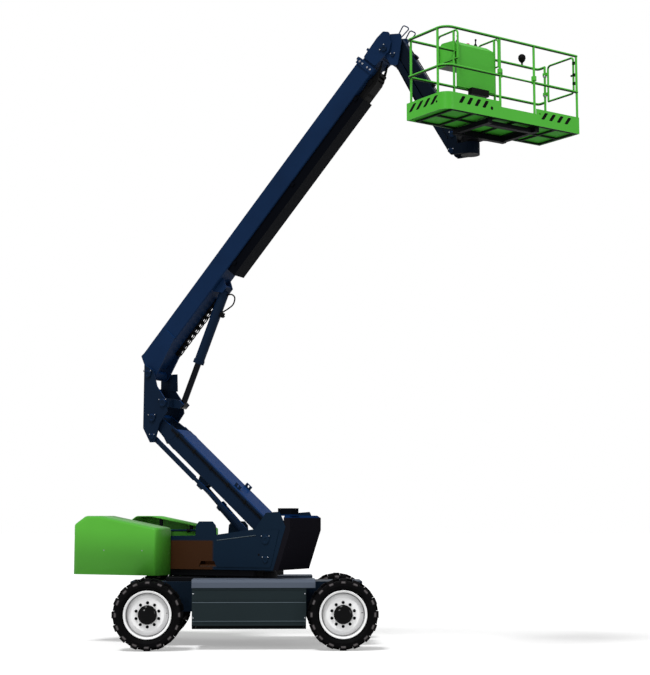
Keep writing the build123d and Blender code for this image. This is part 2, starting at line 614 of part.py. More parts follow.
def main_boom_inner():
    half = INNER_WIDTH / 2
    boom = Pos(0, 0, MAIN_AXIS) * box_tube(INNER_START, INNER_END, INNER_WIDTH, INNER_HEIGHT, 10, 14)
    nx, nz = NOSE_PIN
    high = MAIN_AXIS + INNER_HEIGHT / 2
    low = MAIN_AXIS - INNER_HEIGHT / 2
    cheek = [(INNER_END - 180, low + 2), (INNER_END - 180, high - 2), (nx + 60, high + 10),
        (nx + 190, high - 10)]
    cheek += [(nx + 235, nz + 110), (nx + 130, nz - 30), (nx + 20, nz - 85), (INNER_END - 75, low - 20)]
    boom += both(rounded_plate(cheek, 24, half - 6, half + 24))
    collar = box_tube(INNER_END - 75, INNER_END - 35, INNER_WIDTH + 46, INNER_HEIGHT + 2 * COLLAR_PROUD,
        26, 18)
    boom += Pos(0, 0, MAIN_AXIS) * collar
    for y in (-half + 40, half - 40):
        boom += Pos(INNER_END - 55, y, high + 38) * Box(40, 36, 44)
    boom += rod_y(nx, nz, 38, -half - 34, half + 34)
    return upper(at(MAIN_PIVOT, MAIN_ANGLE) * boom)


# Jib
def jib_base():
    nx, nz = NOSE_AT
    jx, jz = JIB_PIVOT
    kx, kz = JIB_LINK_TOP
    bx, bz = JIB_LIFT_BASE
    outline = [(nx - 70, nz - 38), (nx - 62, nz + 68), (jx - 60, jz + 85), (jx + 110, jz + 70),
        (jx + 120, jz - 30)]
    outline += [(bx + 65, bz + 60), (bx + 40, bz - 50), (bx - 70, bz - 40), (nx + 6, nz - 86)]
    base = both(rounded_plate(outline, 22, 118, 140))
    base += both(rod_y(nx, nz, 65, 60, 130))
    base += rod_y(jx, jz, 30, -130, 130) + both(rod_y(kx, kz, 24, 86, 130))
    web = [(kx - 104, kz + 20), (bx - 80, bz - 14), (bx - 62, bz - 4), (kx - 86, kz + 32)]
    base += side_plate(web, -130, 130)
    lug = [(kx - 92, kz), (bx - 72, bz - 10), (bx - 20, bz - 38), (bx + 10, bz - 38), (bx + 36, bz),
        (bx + 10, bz + 38), (kx - 84, kz + 28)]
    base += both(side_plate(lug, 54, 76)) + rod_y(bx, bz, 25, -76, 76)
    base -= rod_y(nx, nz, 38 + PIN_CLEARANCE, -200, 200)
    hoop = [(jx + 60, -129, jz + 40), (jx + 150, -129, jz + 190), (jx + 250, -129, jz + 130),
        (jx + 90, -129, jz - 10)]
    base += both(bent_tube(hoop, 30, 9))
    return upper(base)


def jib_arm():
    half = JIB_WIDTH / 2
    arm = box_tube(40, JIB_LENGTH - 40, JIB_WIDTH, JIB_HEIGHT, 9, 12)
    lx, lz = JIB_LIFT_LUG
    for x in (0, JIB_LENGTH):
        arm += rod_y(x, 0, 62, -half, half)
    arm += both(side_plate([(lx - 110, -90), (lx + 110, -90), (lx + 45, lz - 45), (lx - 45, lz - 45)],
        44, 66))
    top = JIB_HEIGHT / 2
    for x in (380, 900, 1420):
        guide = box(x - 20, x + 20, -half + 20, half - 20, top - 3, top + 42)
        arm += guide - rod_x(0, top + 21, 14, x - 30, x + 30)
    for x in (0, JIB_LENGTH):
        arm -= rod_y(x, 0, 30 + PIN_CLEARANCE, -300, 300)
    return upper(at(JIB_PIVOT, JIB_ANGLE) * arm)


def jib_link():
    bar = capsule(JIB_LENGTH, 40, 40, 90, 112)
    for x in (0, JIB_LENGTH):
        bar -= rod_y(x, 0, 24 + PIN_CLEARANCE, 50, 200)
    return upper(at(JIB_LINK_TOP, JIB_ANGLE) * pair(bar))


def rotator_bracket():
    jx, jz = JIB_END
    kx, kz = JIB_LINK_END
    top = FLOOR_Z - 110
    bottom = FLOOR_Z - 270
    outline = [(kx - 50, kz), (jx - 60, jz), (jx - 20, jz + 62), (jx + 60, jz + 20), (jx + 75, top),
        (ROTATOR_X, top)]
    outline += [(ROTATOR_X, bottom + 10), (kx, kz - 52)]
    bracket = both(side_plate(outline, 118, 140))
    bracket += rod_y(jx, jz, 30, -130, 130) + rod_y(kx, kz, 24, 86, 130) + rod_y(kx, kz, 24, -130, -86)
    bracket += rod_z(ROTATOR_X, 0, 135, bottom, top + 10)
    bracket += rod_z(ROTATOR_X, 0, 40, top, FLOOR_Z - 25)
    return upper(bracket)


# Hydraulic cylinders, drawn from the barrel's pin to the rod's eye
def ram(start, end, barrel_r, rod_r, barrel_length, rod_start, pin_r, foot_half, eye_half):
    length = hypot(end[0] - start[0], end[1] - start[1])
    angle = degrees(atan2(end[1] - start[1], end[0] - start[0]))
    barrel = rod_x(0, 0, barrel_r, 40, barrel_length) + rod_x(0, 0, barrel_r + 10, barrel_length - 60,
        barrel_length)
    barrel += rod_y(0, 0, pin_r + 24, -foot_half, foot_half)
    barrel -= rod_x(0, 0, rod_r + 1, 90, barrel_length + 10)
    barrel -= rod_y(0, 0, pin_r + PIN_CLEARANCE, -200, 200)
    rod = rod_x(0, 0, rod_r, rod_start, length - pin_r)
    rod += rod_y(length, 0, pin_r + 22, -eye_half, eye_half)
    rod -= rod_y(length, 0, pin_r, -200, 200)
    place = at(start, angle)
    return upper(place * barrel), upper(place * rod)


# Platform, drawn with the rotator axis at the origin and turned into place
def on_platform(shape):
    return upper(Pos(ROTATOR_X, 0, FLOOR_Z) * Rot(0, 0, PLATFORM_TURN) * shape)


def platform_support():
    hub = rod_z(0, 0, 130, -95, -20)
    arm = [(0, -118), (0, 118), (150, 118), (FLOOR_NEAR + 60, 300), (FLOOR_NEAR + 60, -300), (150, -118)]
    hub += floor_plate(arm, -80, -20)
    for y in (-430, 430):
        hub += box(FLOOR_NEAR + 5, FLOOR_FAR - 60, y - 35, y + 35, -70, 0)
    hub += box(FLOOR_NEAR + 5, FLOOR_NEAR + 85, -465, 465, -80, -10)
    hub += box(FLOOR_FAR - 200, FLOOR_FAR - 130, -465, 465, -70, -10)
    hub -= rod_z(0, 0, 40 + PIN_CLEARANCE, -110, 0)
    return on_platform(hub)


def floor_outline(inset):
    shape = Polygon(
        (FLOOR_NEAR + inset, FLOOR_LEFT + inset),
        (FLOOR_FAR - inset, FLOOR_LEFT + inset),
        (FLOOR_FAR - inset, FLOOR_RIGHT - inset),
        (FLOOR_NEAR + inset, FLOOR_RIGHT - inset),
        align=None,
    )
    corner = shape.vertices().group_by(Axis.X)[-1].sort_by(Axis.Y)[0]
    return fillet(corner, CORNER_R - inset)


def platform_floor():
    floor = Pos(0, 0, FLOOR_T - 12) * extrude(floor_outline(TOE_T), 12)
    for x in (FLOOR_NEAR + 30, (FLOOR_NEAR + FLOOR_FAR) / 2, FLOOR_FAR - 50):
        floor += box(x - 15, x + 15, FLOOR_LEFT + CORNER_R, FLOOR_RIGHT - TOE_T, 0, FLOOR_T - 10)
    for i in range(7):
        y = FLOOR_LEFT + CORNER_R + 20 + (FLOOR_RIGHT - FLOOR_LEFT - CORNER_R - 60) * i / 6
        floor += box(FLOOR_NEAR + TOE_T, FLOOR_FAR - TOE_T, y - 15, y + 15, 0, FLOOR_T - 10)
    return on_platform(floor)


def toe_boards():
    band = floor_outline(0) - floor_outline(TOE_T)
    boards = extrude(band, TOE_HEIGHT)
    boards -= box(FLOOR_FAR - 60, FLOOR_FAR + 10, ENTRY_LEFT - 20, ENTRY_RIGHT + 20, TOE_LOW,
        TOE_HEIGHT + 10)
    boards -= box(GATE_POST_X + 20, FLOOR_FAR - 60, FLOOR_RIGHT - 60, FLOOR_RIGHT + 10, TOE_LOW,
        TOE_HEIGHT + 10)
    return on_platform(boards)


def post(x, y, top, bottom=TOE_HEIGHT):
    return rod_z(x, y, RAIL_R - 2, bottom, top)


def rail_outer():
    x = FLOOR_FAR - RAIL_R
    y0 = FLOOR_LEFT + RAIL_R
    y1 = FLOOR_RIGHT - RAIL_R
    rails = bent_tube([(RAIL_JOINT_X, y0, RAIL_TOP), (x, y0, RAIL_TOP), (x, y1 + 12, RAIL_TOP)],
        CORNER_R, RAIL_R)
    rails += bent_tube([(RAIL_JOINT_X, y0, RAIL_MID), (x, y0, RAIL_MID), (x, ENTRY_LEFT + 5, RAIL_MID)],
        CORNER_R, RAIL_R)
    rails += Pos(x, (ENTRY_RIGHT + y1 + 12) / 2, RAIL_MID) * Rot(90, 0, 0) * Cylinder(RAIL_R, y1
        + 12 - ENTRY_RIGHT)
    for y in (ENTRY_LEFT, ENTRY_RIGHT):
        rails += post(x, y, RAIL_TOP, TOE_LOW)
    rails += post(x, y1, RAIL_TOP) + post(x - CORNER_R, y0, RAIL_TOP)
    return on_platform(rails)


def rail_inner():
    x = FLOOR_NEAR + RAIL_R
    y0 = FLOOR_LEFT + RAIL_R
    y1 = FLOOR_RIGHT - RAIL_R
    rails = None
    for z in (RAIL_TOP, RAIL_MID):
        run = bent_tube([(RAIL_JOINT_X - 1, y0, z), (x, y0, z), (x, y1, z), (GATE_POST_X + 6, y1, z)],
            RAIL_BEND, RAIL_R)
        rails = run if rails is None else rails + run
    rails += post(x, y0 + RAIL_BEND + 2, RAIL_TOP) + post(GATE_POST_X, y1, RAIL_TOP)
    for y in (HOOP_LEFT, HOOP_RIGHT):
        rails += post(x, y, HOOP_TOP)
        foot = RAIL_TOP - 130
        loop = [(x - 350, y, foot), (x - 350, y, HOOP_TOP), (x + 90, y, HOOP_TOP), (x + 90, y, foot)]
        rails += bent_tube(loop, 60, 14)
        rails += rod_x(y, foot + 8, 12, x - 356, x + 96)
    return on_platform(rails)


def entry_bar():
    x = FLOOR_FAR - RAIL_R
    bar = Pos(x, (ENTRY_LEFT + ENTRY_RIGHT) / 2, RAIL_MID) * Rot(90, 0, 0) * Cylinder(14,
        ENTRY_RIGHT - ENTRY_LEFT - 64)
    for y, side in ((ENTRY_LEFT, 1), (ENTRY_RIGHT, -1)):
        bar += rod_z(x, y, 34, RAIL_MID + 30, RAIL_MID + 90) - rod_z(x, y, RAIL_R + 1.5, 0, 2000)
        bar += Pos(x, y + 34 * side, RAIL_MID + 30) * Box(14, 20, 110)
    return on_platform(bar)


def platform_gate():
    y = FLOOR_RIGHT - RAIL_R
    x0 = GATE_POST_X + 70
    x1 = FLOOR_FAR - RAIL_R - 60
    loop = [(x0, y, GATE_LOW), (x0, y, GATE_HIGH), (x1, y, GATE_HIGH), (x1, y, GATE_LOW),
        (x0 + 50, y, GATE_LOW)]
    gate = bent_tube(loop, 48, 15)
    gate += Pos(x0 + 25, y, GATE_LOW) * Rot(0, 90, 0) * Cylinder(15, 52)
    for z in (GATE_LOW + 120, GATE_HIGH - 110):
        gate += box(GATE_POST_X, x0, y - 12, y + 12, z - 20, z + 20)
        gate += rod_z(GATE_POST_X, y, 32, z - 20, z + 20)
        gate -= rod_z(GATE_POST_X, y, RAIL_R - 2 + PIN_CLEARANCE, z - 40, z + 40)
    for z in (GATE_LOW + 140, (GATE_LOW + GATE_HIGH) / 2, GATE_HIGH - 90):
        gate += box(x1 - 10, x1 + 34, y - 14, y + 14, z - 18, z + 18)
    return on_platform(gate)


def control_console():
    rail = FLOOR_NEAR + RAIL_R
    inside = rail + RAIL_R + 4
    outside = rail - RAIL_R - 6
    over = RAIL_TOP + RAIL_R + 6
    face = inside + 14
    profile = [(rail - 375, RAIL_TOP - 170), (outside, RAIL_TOP - 170), (outside, over), (inside, over),
        (inside, PANEL_BOTTOM)]
    profile += [(face, PANEL_BOTTOM), (face, PANEL_TOP - 30), (face - 80, PANEL_TOP + 40),
        (rail - 300, PANEL_TOP + 60), (rail - 375, PANEL_TOP - 10)]
    console = side_plate(profile, HOOP_LEFT + 26, HOOP_RIGHT - 26)
    ridge = console.edges().filter_by(Axis.Y).sort_by(Axis.Z)[-2:]
    console = fillet(ridge, 40)
    corner = Pos(rail, HOOP_RIGHT - 26, PANEL_TOP + 60) * Rot(45, 0, 0) * Box(900, 150, 150)
    return on_platform(console - corner)


def socket_box():
    inside = FLOOR_NEAR + 2 * RAIL_R + 4
    return on_platform(box(inside, inside + 90, -205, 110, PANEL_BOTTOM - 95, PANEL_BOTTOM))


def work_lamp():
    x = FLOOR_NEAR + RAIL_R
    base = RAIL_TOP + RAIL_R - 1
    profile = [(0, base), (14, base), (14, base + 30), (44, base + 62), (56, base + 100),
        (50, base + 136), (26, base + 158), (0, base + 164)]
    lamp = Pos(x, FLOOR_RIGHT - 335, 0) * spun(profile)
    seat = Pos(x, FLOOR_RIGHT - 335, RAIL_TOP) * Rot(90, 0, 0) * Cylinder(RAIL_R, 200)
    return on_platform(lamp - seat)


WHEELS = (("fr", AXLE_X, -1), ("fl", AXLE_X, 1), ("rr", -AXLE_X, -1), ("rl", -AXLE_X, 1))

lower_barrel, lower_rod = ram(LOWER_LIFT_BASE, LOWER_LUG_AT, 66, 42, 1160, 330, 30, 72, 50)
main_barrel, main_rod = ram(MAIN_LUG_AT, MAIN_LIFT_FOOT, 76, 48, 1220, 780, 34, 78, 58)
jib_barrel, jib_rod = ram(JIB_LIFT_BASE, JIB_LUG_AT, 46, 28, 760, 95, 25, 48, 36)

NODES = {
    "chassis_frame": chassis_frame(),
    "battery_boxes": pair(battery_box()),
    "battery_packs": pair(battery_pack()),
    "slew_ring": slew_ring(),
    "steer_axle": steer_axle(),
    "drive_axle": drive_axle(),
    "knuckle_left": knuckle(),
    "knuckle_right": mirrored(knuckle()),
    "tie_rod": tie_rod(),
    "turntable_frame": upper(turntable_frame()),
    "counterweight": upper(counterweight()),
    "hood_left": upper(hood()),
    "hood_right": upper(mirrored(hood())),
    "front_cover": upper(front_cover()),
    "slew_drive": upper(slew_drive()),
    "power_unit": upper(power_unit()),
    "lower_boom": lower_boom(),
    "level_link": level_link(),
    "lower_lift_barrel": lower_barrel,
    "lower_lift_rod": lower_rod,
    "upright": upright(),
    "main_boom_outer": main_boom_outer(),
    "hose_carrier": hose_carrier(),
    "hose_chain": hose_chain(),
    "hose_tube": hose_tube(),
    "main_boom_inner": main_boom_inner(),
    "main_lift_barrel": main_barrel,
    "main_lift_rod": main_rod,
    "jib_base": jib_base(),
    "jib_arm": jib_arm(),
    "jib_link": jib_link(),
    "jib_lift_barrel": jib_barrel,
    "jib_lift_rod": jib_rod,
    "rotator_bracket": rotator_bracket(),
    "platform_support": platform_support(),
    "platform_floor": platform_floor(),
    "toe_boards": toe_boards(),
    "rail_outer": rail_outer(),
    "rail_inner": rail_inner(),
    "entry_bar": entry_bar(),
    "platform_gate": platform_gate(),
    "control_console": control_console(),
    "socket_box": socket_box(),
    "work_lamp": work_lamp(),
}
rim_shape = wheel_rim()
tyre_shape = wheel_tyre()
for name, x, side in WHEELS:
    NODES["rim_" + name] = wheel_at(rim_shape, x, side)
    NODES["tyre_" + name] = wheel_at(tyre_shape, x, side)

os.makedirs("parts", exist_ok=True)
for name, shape in NODES.items():
    export_step(shape, "parts/" + name + ".step")
print(len(NODES), "nodes written")
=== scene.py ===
import json
import math

import bmesh
import bpy
import numpy as np
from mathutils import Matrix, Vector


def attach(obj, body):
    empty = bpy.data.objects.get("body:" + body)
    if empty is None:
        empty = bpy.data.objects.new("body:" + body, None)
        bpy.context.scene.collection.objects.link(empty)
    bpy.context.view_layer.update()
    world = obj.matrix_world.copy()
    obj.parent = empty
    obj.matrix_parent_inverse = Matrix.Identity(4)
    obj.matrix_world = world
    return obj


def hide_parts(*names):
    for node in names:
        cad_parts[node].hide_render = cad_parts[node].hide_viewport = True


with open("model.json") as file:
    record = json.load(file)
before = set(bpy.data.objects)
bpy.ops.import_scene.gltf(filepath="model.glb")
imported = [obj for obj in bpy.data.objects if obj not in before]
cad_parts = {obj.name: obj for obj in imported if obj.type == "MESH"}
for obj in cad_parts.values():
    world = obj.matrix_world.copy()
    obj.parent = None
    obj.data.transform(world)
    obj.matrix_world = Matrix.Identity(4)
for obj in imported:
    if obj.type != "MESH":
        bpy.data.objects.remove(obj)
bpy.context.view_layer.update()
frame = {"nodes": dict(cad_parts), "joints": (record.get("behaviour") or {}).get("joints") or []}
nodes = frame["nodes"]
joints = {j["name"]: j for j in frame["joints"]}
print("frame loaded:", len(nodes), "nodes")


# axes of the moving groups, read from the joints; lengths along them are given in millimetres
def jointPoint(name):
    return np.array(joints[name]["pos_m"], float)


# v divided by its length
def unit(v):
    v = np.array(v, float)
    return v / np.linalg.norm(v)


up = np.array([0.0, 0.0, 1.0])
leftAxis = unit(joints["lower_lift"]["axis"])
aheadAxis = unit(np.cross(leftAxis, up))
lowerAlong = unit(jointPoint("upright_level") - jointPoint("lower_lift"))
mainAlong = unit(joints["telescope"]["axis"])
jibAlong = unit(jointPoint("platform_level") - jointPoint("jib_lift"))
platformTurn = math.radians(-29.3)
platAhead = math.cos(platformTurn) * aheadAxis + math.sin(platformTurn) * leftAxis
platLeft = -math.sin(platformTurn) * aheadAxis + math.cos(platformTurn) * leftAxis


# axes: along, side and their cross product
def groupFrame(origin, along, side):
    return {"origin": np.array(origin, float), "axes": np.array([along, side, np.cross(along, side)])}


groups = {
    "ground": groupFrame((0, 0, 0), (1, 0, 0), (0, 1, 0)),
    "upper": groupFrame((0, 0, 0), aheadAxis, leftAxis),
    "lowerBoom": groupFrame(jointPoint("lower_lift"), -lowerAlong, leftAxis),
    "upright": groupFrame(jointPoint("upright_level"), aheadAxis, leftAxis),
    "mainBoom": groupFrame(jointPoint("main_lift"), mainAlong, leftAxis),
    "mainLift": groupFrame(jointPoint("main_barrel_turn"), joints["main_rod_slide"]["axis"], leftAxis),
    "jibBase": groupFrame(jointPoint("jib_lift"), aheadAxis, leftAxis),
    "jib": groupFrame(jointPoint("jib_lift"), jibAlong, leftAxis),
    "rotator": groupFrame(jointPoint("platform_level"), aheadAxis, leftAxis),
    "platform": groupFrame(jointPoint("platform_rotate"), platAhead, platLeft),
}


# place = origin + x * along + y * side + z * normal, millimetres in, metres out
def placed(points, group):
    g = groups[group]
    return g["origin"] + (np.asarray(points, float) / 1000) @ g["axes"]


# grid of quads: row i joins row i + 1, and with wrap the last column joins the first
def gridFaces(rows, cols, wrapCols=True, wrapRows=False):
    i = np.arange(rows if wrapRows else rows - 1)
    j = np.arange(cols if wrapCols else cols - 1)
    i, j = np.meshgrid(i, j, indexing="ij")
    i2, j2 = (i + 1) % rows, (j + 1) % cols
    quads = np.stack([i * cols + j, i * cols + j2, i2 * cols + j2, i2 * cols + j], -1)
    return quads.reshape(-1, 4).tolist()


# turned form: point = centre + a * axis + r * (cos t * e1 + sin t * e2), for profile rows (r, a)
def turned(profile, steps=32, axis=(0, 1, 0), centre=(0, 0, 0), closed=False):
    profile = np.asarray(profile, float)
    axis = unit(axis)
    e1 = unit(np.cross(axis, (0.3, 0.2, 0.93) if abs(axis[2]) < 0.9 else (1, 0, 0)))
    e2 = np.cross(axis, e1)
    t = np.linspace(0, 2 * np.pi, steps, endpoint=False)
    ring = np.cos(t)[:, None] * e1 + np.sin(t)[:, None] * e2
    points = profile[:, 1, None, None] * axis + profile[:, 0, None, None] * ring[None]
    points = points + np.asarray(centre, float)
    rows = len(profile)
    faces = gridFaces(rows, steps, True, closed)
    if not closed:
        faces += [list(range(steps))[::-1], list(range((rows - 1) * steps, rows * steps))]
    return points.reshape(-1, 3), faces


# rounded block: a rounded rectangle's outline, drawn in by the bevel at its lowest and highest layers
def block(size, corner=4.0, bevel=2.0, centre=(0, 0, 0), arc=4):
    w, d, h = size
    corner = min(corner, w / 2 - 0.01, d / 2 - 0.01)
    t = np.linspace(0, np.pi / 2, arc + 1)
    q = np.arange(4)[:, None] * np.pi / 2 + t[None]
    sx = np.array([1, -1, -1, 1])[:, None]
    sy = np.array([1, 1, -1, -1])[:, None]
    layers = [(bevel, -h / 2), (0, -h / 2 + bevel), (0, h / 2 - bevel), (bevel, h / 2)]
    rings = []
    for inset, z in layers:
        r = max(corner - inset, 0.01)
        x = sx * (w / 2 - corner) + r * np.cos(q)
        y = sy * (d / 2 - corner) + r * np.sin(q)
        rings.append(np.stack([x.ravel(), y.ravel(), np.full(x.size, z)], -1))
    cols = rings[0].shape[0]
    points = np.concatenate(rings) + np.asarray(centre, float)
    faces = gridFaces(len(layers), cols)
    faces += [list(range(cols))[::-1], list(range(3 * cols, 4 * cols))]
    return points, faces


# tube: a circle carried along a path, its frame turned from one run to the next by the path's tangent
def tube(path, radius, steps=12):
    path = np.asarray(path, float)
    tangent = np.gradient(path, axis=0)
    tangent /= np.linalg.norm(tangent, axis=1)[:, None]
    guide = np.array([0.13, 0.97, 0.21])
    e1 = np.cross(tangent, guide)
    e1 /= np.linalg.norm(e1, axis=1)[:, None]
    e2 = np.cross(tangent, e1)
    t = np.linspace(0, 2 * np.pi, steps, endpoint=False)
    ring = np.cos(t)[None, :, None] * e1[:, None] + np.sin(t)[None, :, None] * e2[:, None]
    points = path[:, None] + radius * ring
    rows = len(path)
    faces = gridFaces(rows, steps) + [list(range(steps))[::-1], list(range((rows - 1) * steps, rows * steps))]
    return points.reshape(-1, 3), faces


# smooth path: a Catmull-Rom curve through given points, p(s) blended from four neighbours
def smoothPath(points, perRun=8):
    p = np.asarray(points, float)
    p = np.concatenate([[2 * p[0] - p[1]], p, [2 * p[-1] - p[-2]]])
    s = np.linspace(0, 1, perRun, endpoint=False)[None, :, None]
    a, b, c, d = p[:-3, None], p[1:-2, None], p[2:-1, None], p[3:, None]
    run = 0.5 * (2 * b + (c - a) * s + (2 * a - 5 * b + 4 * c - d) * s**2 + (3 * b - a - 3 * c + d) * s**3)
    return np.concatenate([run.reshape(-1, 3), p[-2:-1]])


# copies: each shape is turned by its own matrix and moved by its own offset, then all become one mesh
def copies(shape, offsets, turns=None):
    points, faces = shape
    offsets = np.asarray(offsets, float)
    n = len(points)
    turns = np.broadcast_to(np.eye(3), (len(offsets), 3, 3)) if turns is None else np.asarray(turns, float)
    out = np.einsum("kij,nj->kni", turns, points) + offsets[:, None]
    return out.reshape(-1, 3), [[v + k * n for v in f] for k in range(len(offsets)) for f in faces]


# faces are renumbered by the count of points before them
def joined(shapes):
    points, faces, start = [], [], 0
    for p, f in shapes:
        points.append(np.asarray(p, float))
        faces += [[v + start for v in face] for face in f]
        start += len(p)
    return np.concatenate(points), faces


# turn about an axis by angles t: the usual cos, sin and cross-product form
def turnMatrices(axis, angles):
    x, y, z = unit(axis)
    k = np.array([[0, -z, y], [z, 0, -x], [-y, x, 0]])
    t = np.atleast_1d(np.asarray(angles, float))[:, None, None]
    return np.eye(3) + np.sin(t) * k + (1 - np.cos(t)) * (k @ k)


# one mesh with its faces turned outward, riding a body
def makePiece(name, shape, material, body, group="ground", smoothAngle=35, replaces=()):
    points, faces = shape
    mesh = bpy.data.meshes.new(name)
    mesh.from_pydata(placed(points, group).tolist(), [], faces)
    mesh.validate()
    work = bmesh.new()
    work.from_mesh(mesh)
    bmesh.ops.recalc_face_normals(work, faces=work.faces)
    work.to_mesh(mesh)
    work.free()
    mesh.materials.append(material)
    obj = bpy.data.objects.new(name, mesh)
    bpy.context.scene.collection.objects.link(obj)
    mesh.shade_smooth()
    mesh.set_sharp_from_angle(angle=math.radians(smoothAngle))
    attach(obj, body)
    if replaces:
        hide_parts(*replaces)
    return obj


# hex to linear light: ((c + 0.055) / 1.055) to the power 2.4, or c / 12.92 near black
def linear(hexColour):
    c = np.array([int(hexColour[i:i + 2], 16) for i in (1, 3, 5)]) / 255
    c = np.where(c <= 0.04045, c / 12.92, ((c + 0.055) / 1.055) ** 2.4)
    return (*[float(v) for v in c], 1.0)


# one node: settings become attributes, sockets are linked or set
def addNode(tree, kind, links=None, **settings):
    node = tree.nodes.new(kind)
    for key, value in settings.items():
        setattr(node, key, value)
    for socket, value in (links or {}).items():
        if isinstance(value, bpy.types.NodeSocket):
            tree.links.new(value, node.inputs[socket])
        else:
            node.inputs[socket].default_value = value
    return node


# a principled material with its sockets set, and its object coordinates
def startMaterial(name, **sockets):
    material = bpy.data.materials.new(name)
    material.use_nodes = True
    tree = material.node_tree
    shader = tree.nodes["Principled BSDF"]
    for socket, value in sockets.items():
        shader.inputs[socket.replace("_", " ")].default_value = value
    coords = addNode(tree, "ShaderNodeTexCoord").outputs["Object"]
    return material, tree, shader, coords


# pattern repeats per metre for a grain of so many millimetres
def perGrain(millimetres):
    return 1000.0 / millimetres


# sprayed enamel on steel: a smooth skin with faint orange peel, slow drift of tone and dust that dulls the
# gloss; upward faces may take a colour of painted light and downward faces a colour of painted shade, by a
# smooth step of the normal's height
def sprayedEnamel(name, tone, pale, roughness=0.42, specular=0.12, peel=0.02, regions=(), paintedTopShading=None,
                  paintedUnderShade=None):
    grains = {"drift": 700, "dust": 45, "peel": 9}
    material, tree, shader, coords = startMaterial(name, Specular_IOR_Level=specular)
    drift = addNode(tree, "ShaderNodeTexNoise", {
        "Vector": coords, "Scale": perGrain(grains["drift"]), "Detail": 3.0, "Roughness": 0.55})
    dust = addNode(tree, "ShaderNodeTexNoise", {
        "Vector": coords, "Scale": perGrain(grains["dust"]), "Detail": 5.0, "Roughness": 0.65})
    shade = addNode(tree, "ShaderNodeMix", {
        "Factor": drift.outputs["Fac"], "A": linear(tone), "B": linear(pale)}, data_type="RGBA")
    colour = shade.outputs["Result"]
    normal = tree.nodes["Texture Coordinate"].outputs["Normal"]
    # painted light and shade: upward faces take one colour as painted light, downward faces another as
    # painted shade
    for shadingTone, start, full in ((paintedUnderShade, 0.0, -0.45), (paintedTopShading, 0.12, 0.75)):
        if shadingTone:
            facing = addNode(tree, "ShaderNodeSeparateXYZ", {"Vector": normal})
            reach = addNode(tree, "ShaderNodeMapRange", {
                "Value": facing.outputs["Z"], "From Min": start, "From Max": full})
            shadingMix = addNode(tree, "ShaderNodeMix", {
                "Factor": reach.outputs["Result"], "A": colour, "B": linear(shadingTone)}, data_type="RGBA")
            colour = shadingMix.outputs["Result"]
    for build in regions:
        colour = build(tree, coords, colour)
    tree.links.new(colour, shader.inputs["Base Color"])
    gloss = addNode(tree, "ShaderNodeMapRange", {
        "Value": dust.outputs["Fac"], "From Min": 0.3, "From Max": 0.75,
        "To Min": roughness - 0.05, "To Max": roughness + 0.16})
    tree.links.new(gloss.outputs["Result"], shader.inputs["Roughness"])
    grain = addNode(tree, "ShaderNodeTexNoise", {"Vector": coords, "Scale": perGrain(grains["peel"]),
                                                 "Detail": 2.0})
    bump = addNode(tree, "ShaderNodeBump", {
        "Height": grain.outputs["Fac"], "Strength": peel * 4, "Distance": 0.002})
    tree.links.new(bump.outputs["Normal"], shader.inputs["Normal"])
    return material


# a region in another colour: a smooth step of one sum of the coordinates past an edge, times a second step
# if given
def region(weights, edge, soft, hexColour, below=False, also=None):
    def build(tree, coords, colour):
        turn = -1 if below else 1
        steps = [(weights, edge - turn * soft, edge + turn * soft)]
        if also:
            steps.append((also[0], also[1] - also[2], also[1] + also[2]))
        masks = []
        for weight, start, full in steps:
            total = addNode(tree, "ShaderNodeVectorMath", {0: coords, 1: tuple(weight)},
                            operation="DOT_PRODUCT")
            step = addNode(tree, "ShaderNodeMapRange", {
                "Value": total.outputs["Value"], "From Min": start, "From Max": full})
            masks.append(step.outputs["Result"])
        mask = masks[0]
        if also:
            both = {0: masks[0], 1: masks[1]}
            mask = addNode(tree, "ShaderNodeMath", both, operation="MULTIPLY").outputs[0]
        mix = addNode(tree, "ShaderNodeMix", {
            "Factor": mask, "A": colour, "B": linear(hexColour)}, data_type="RGBA")
        return mix.outputs["Result"]
    return build


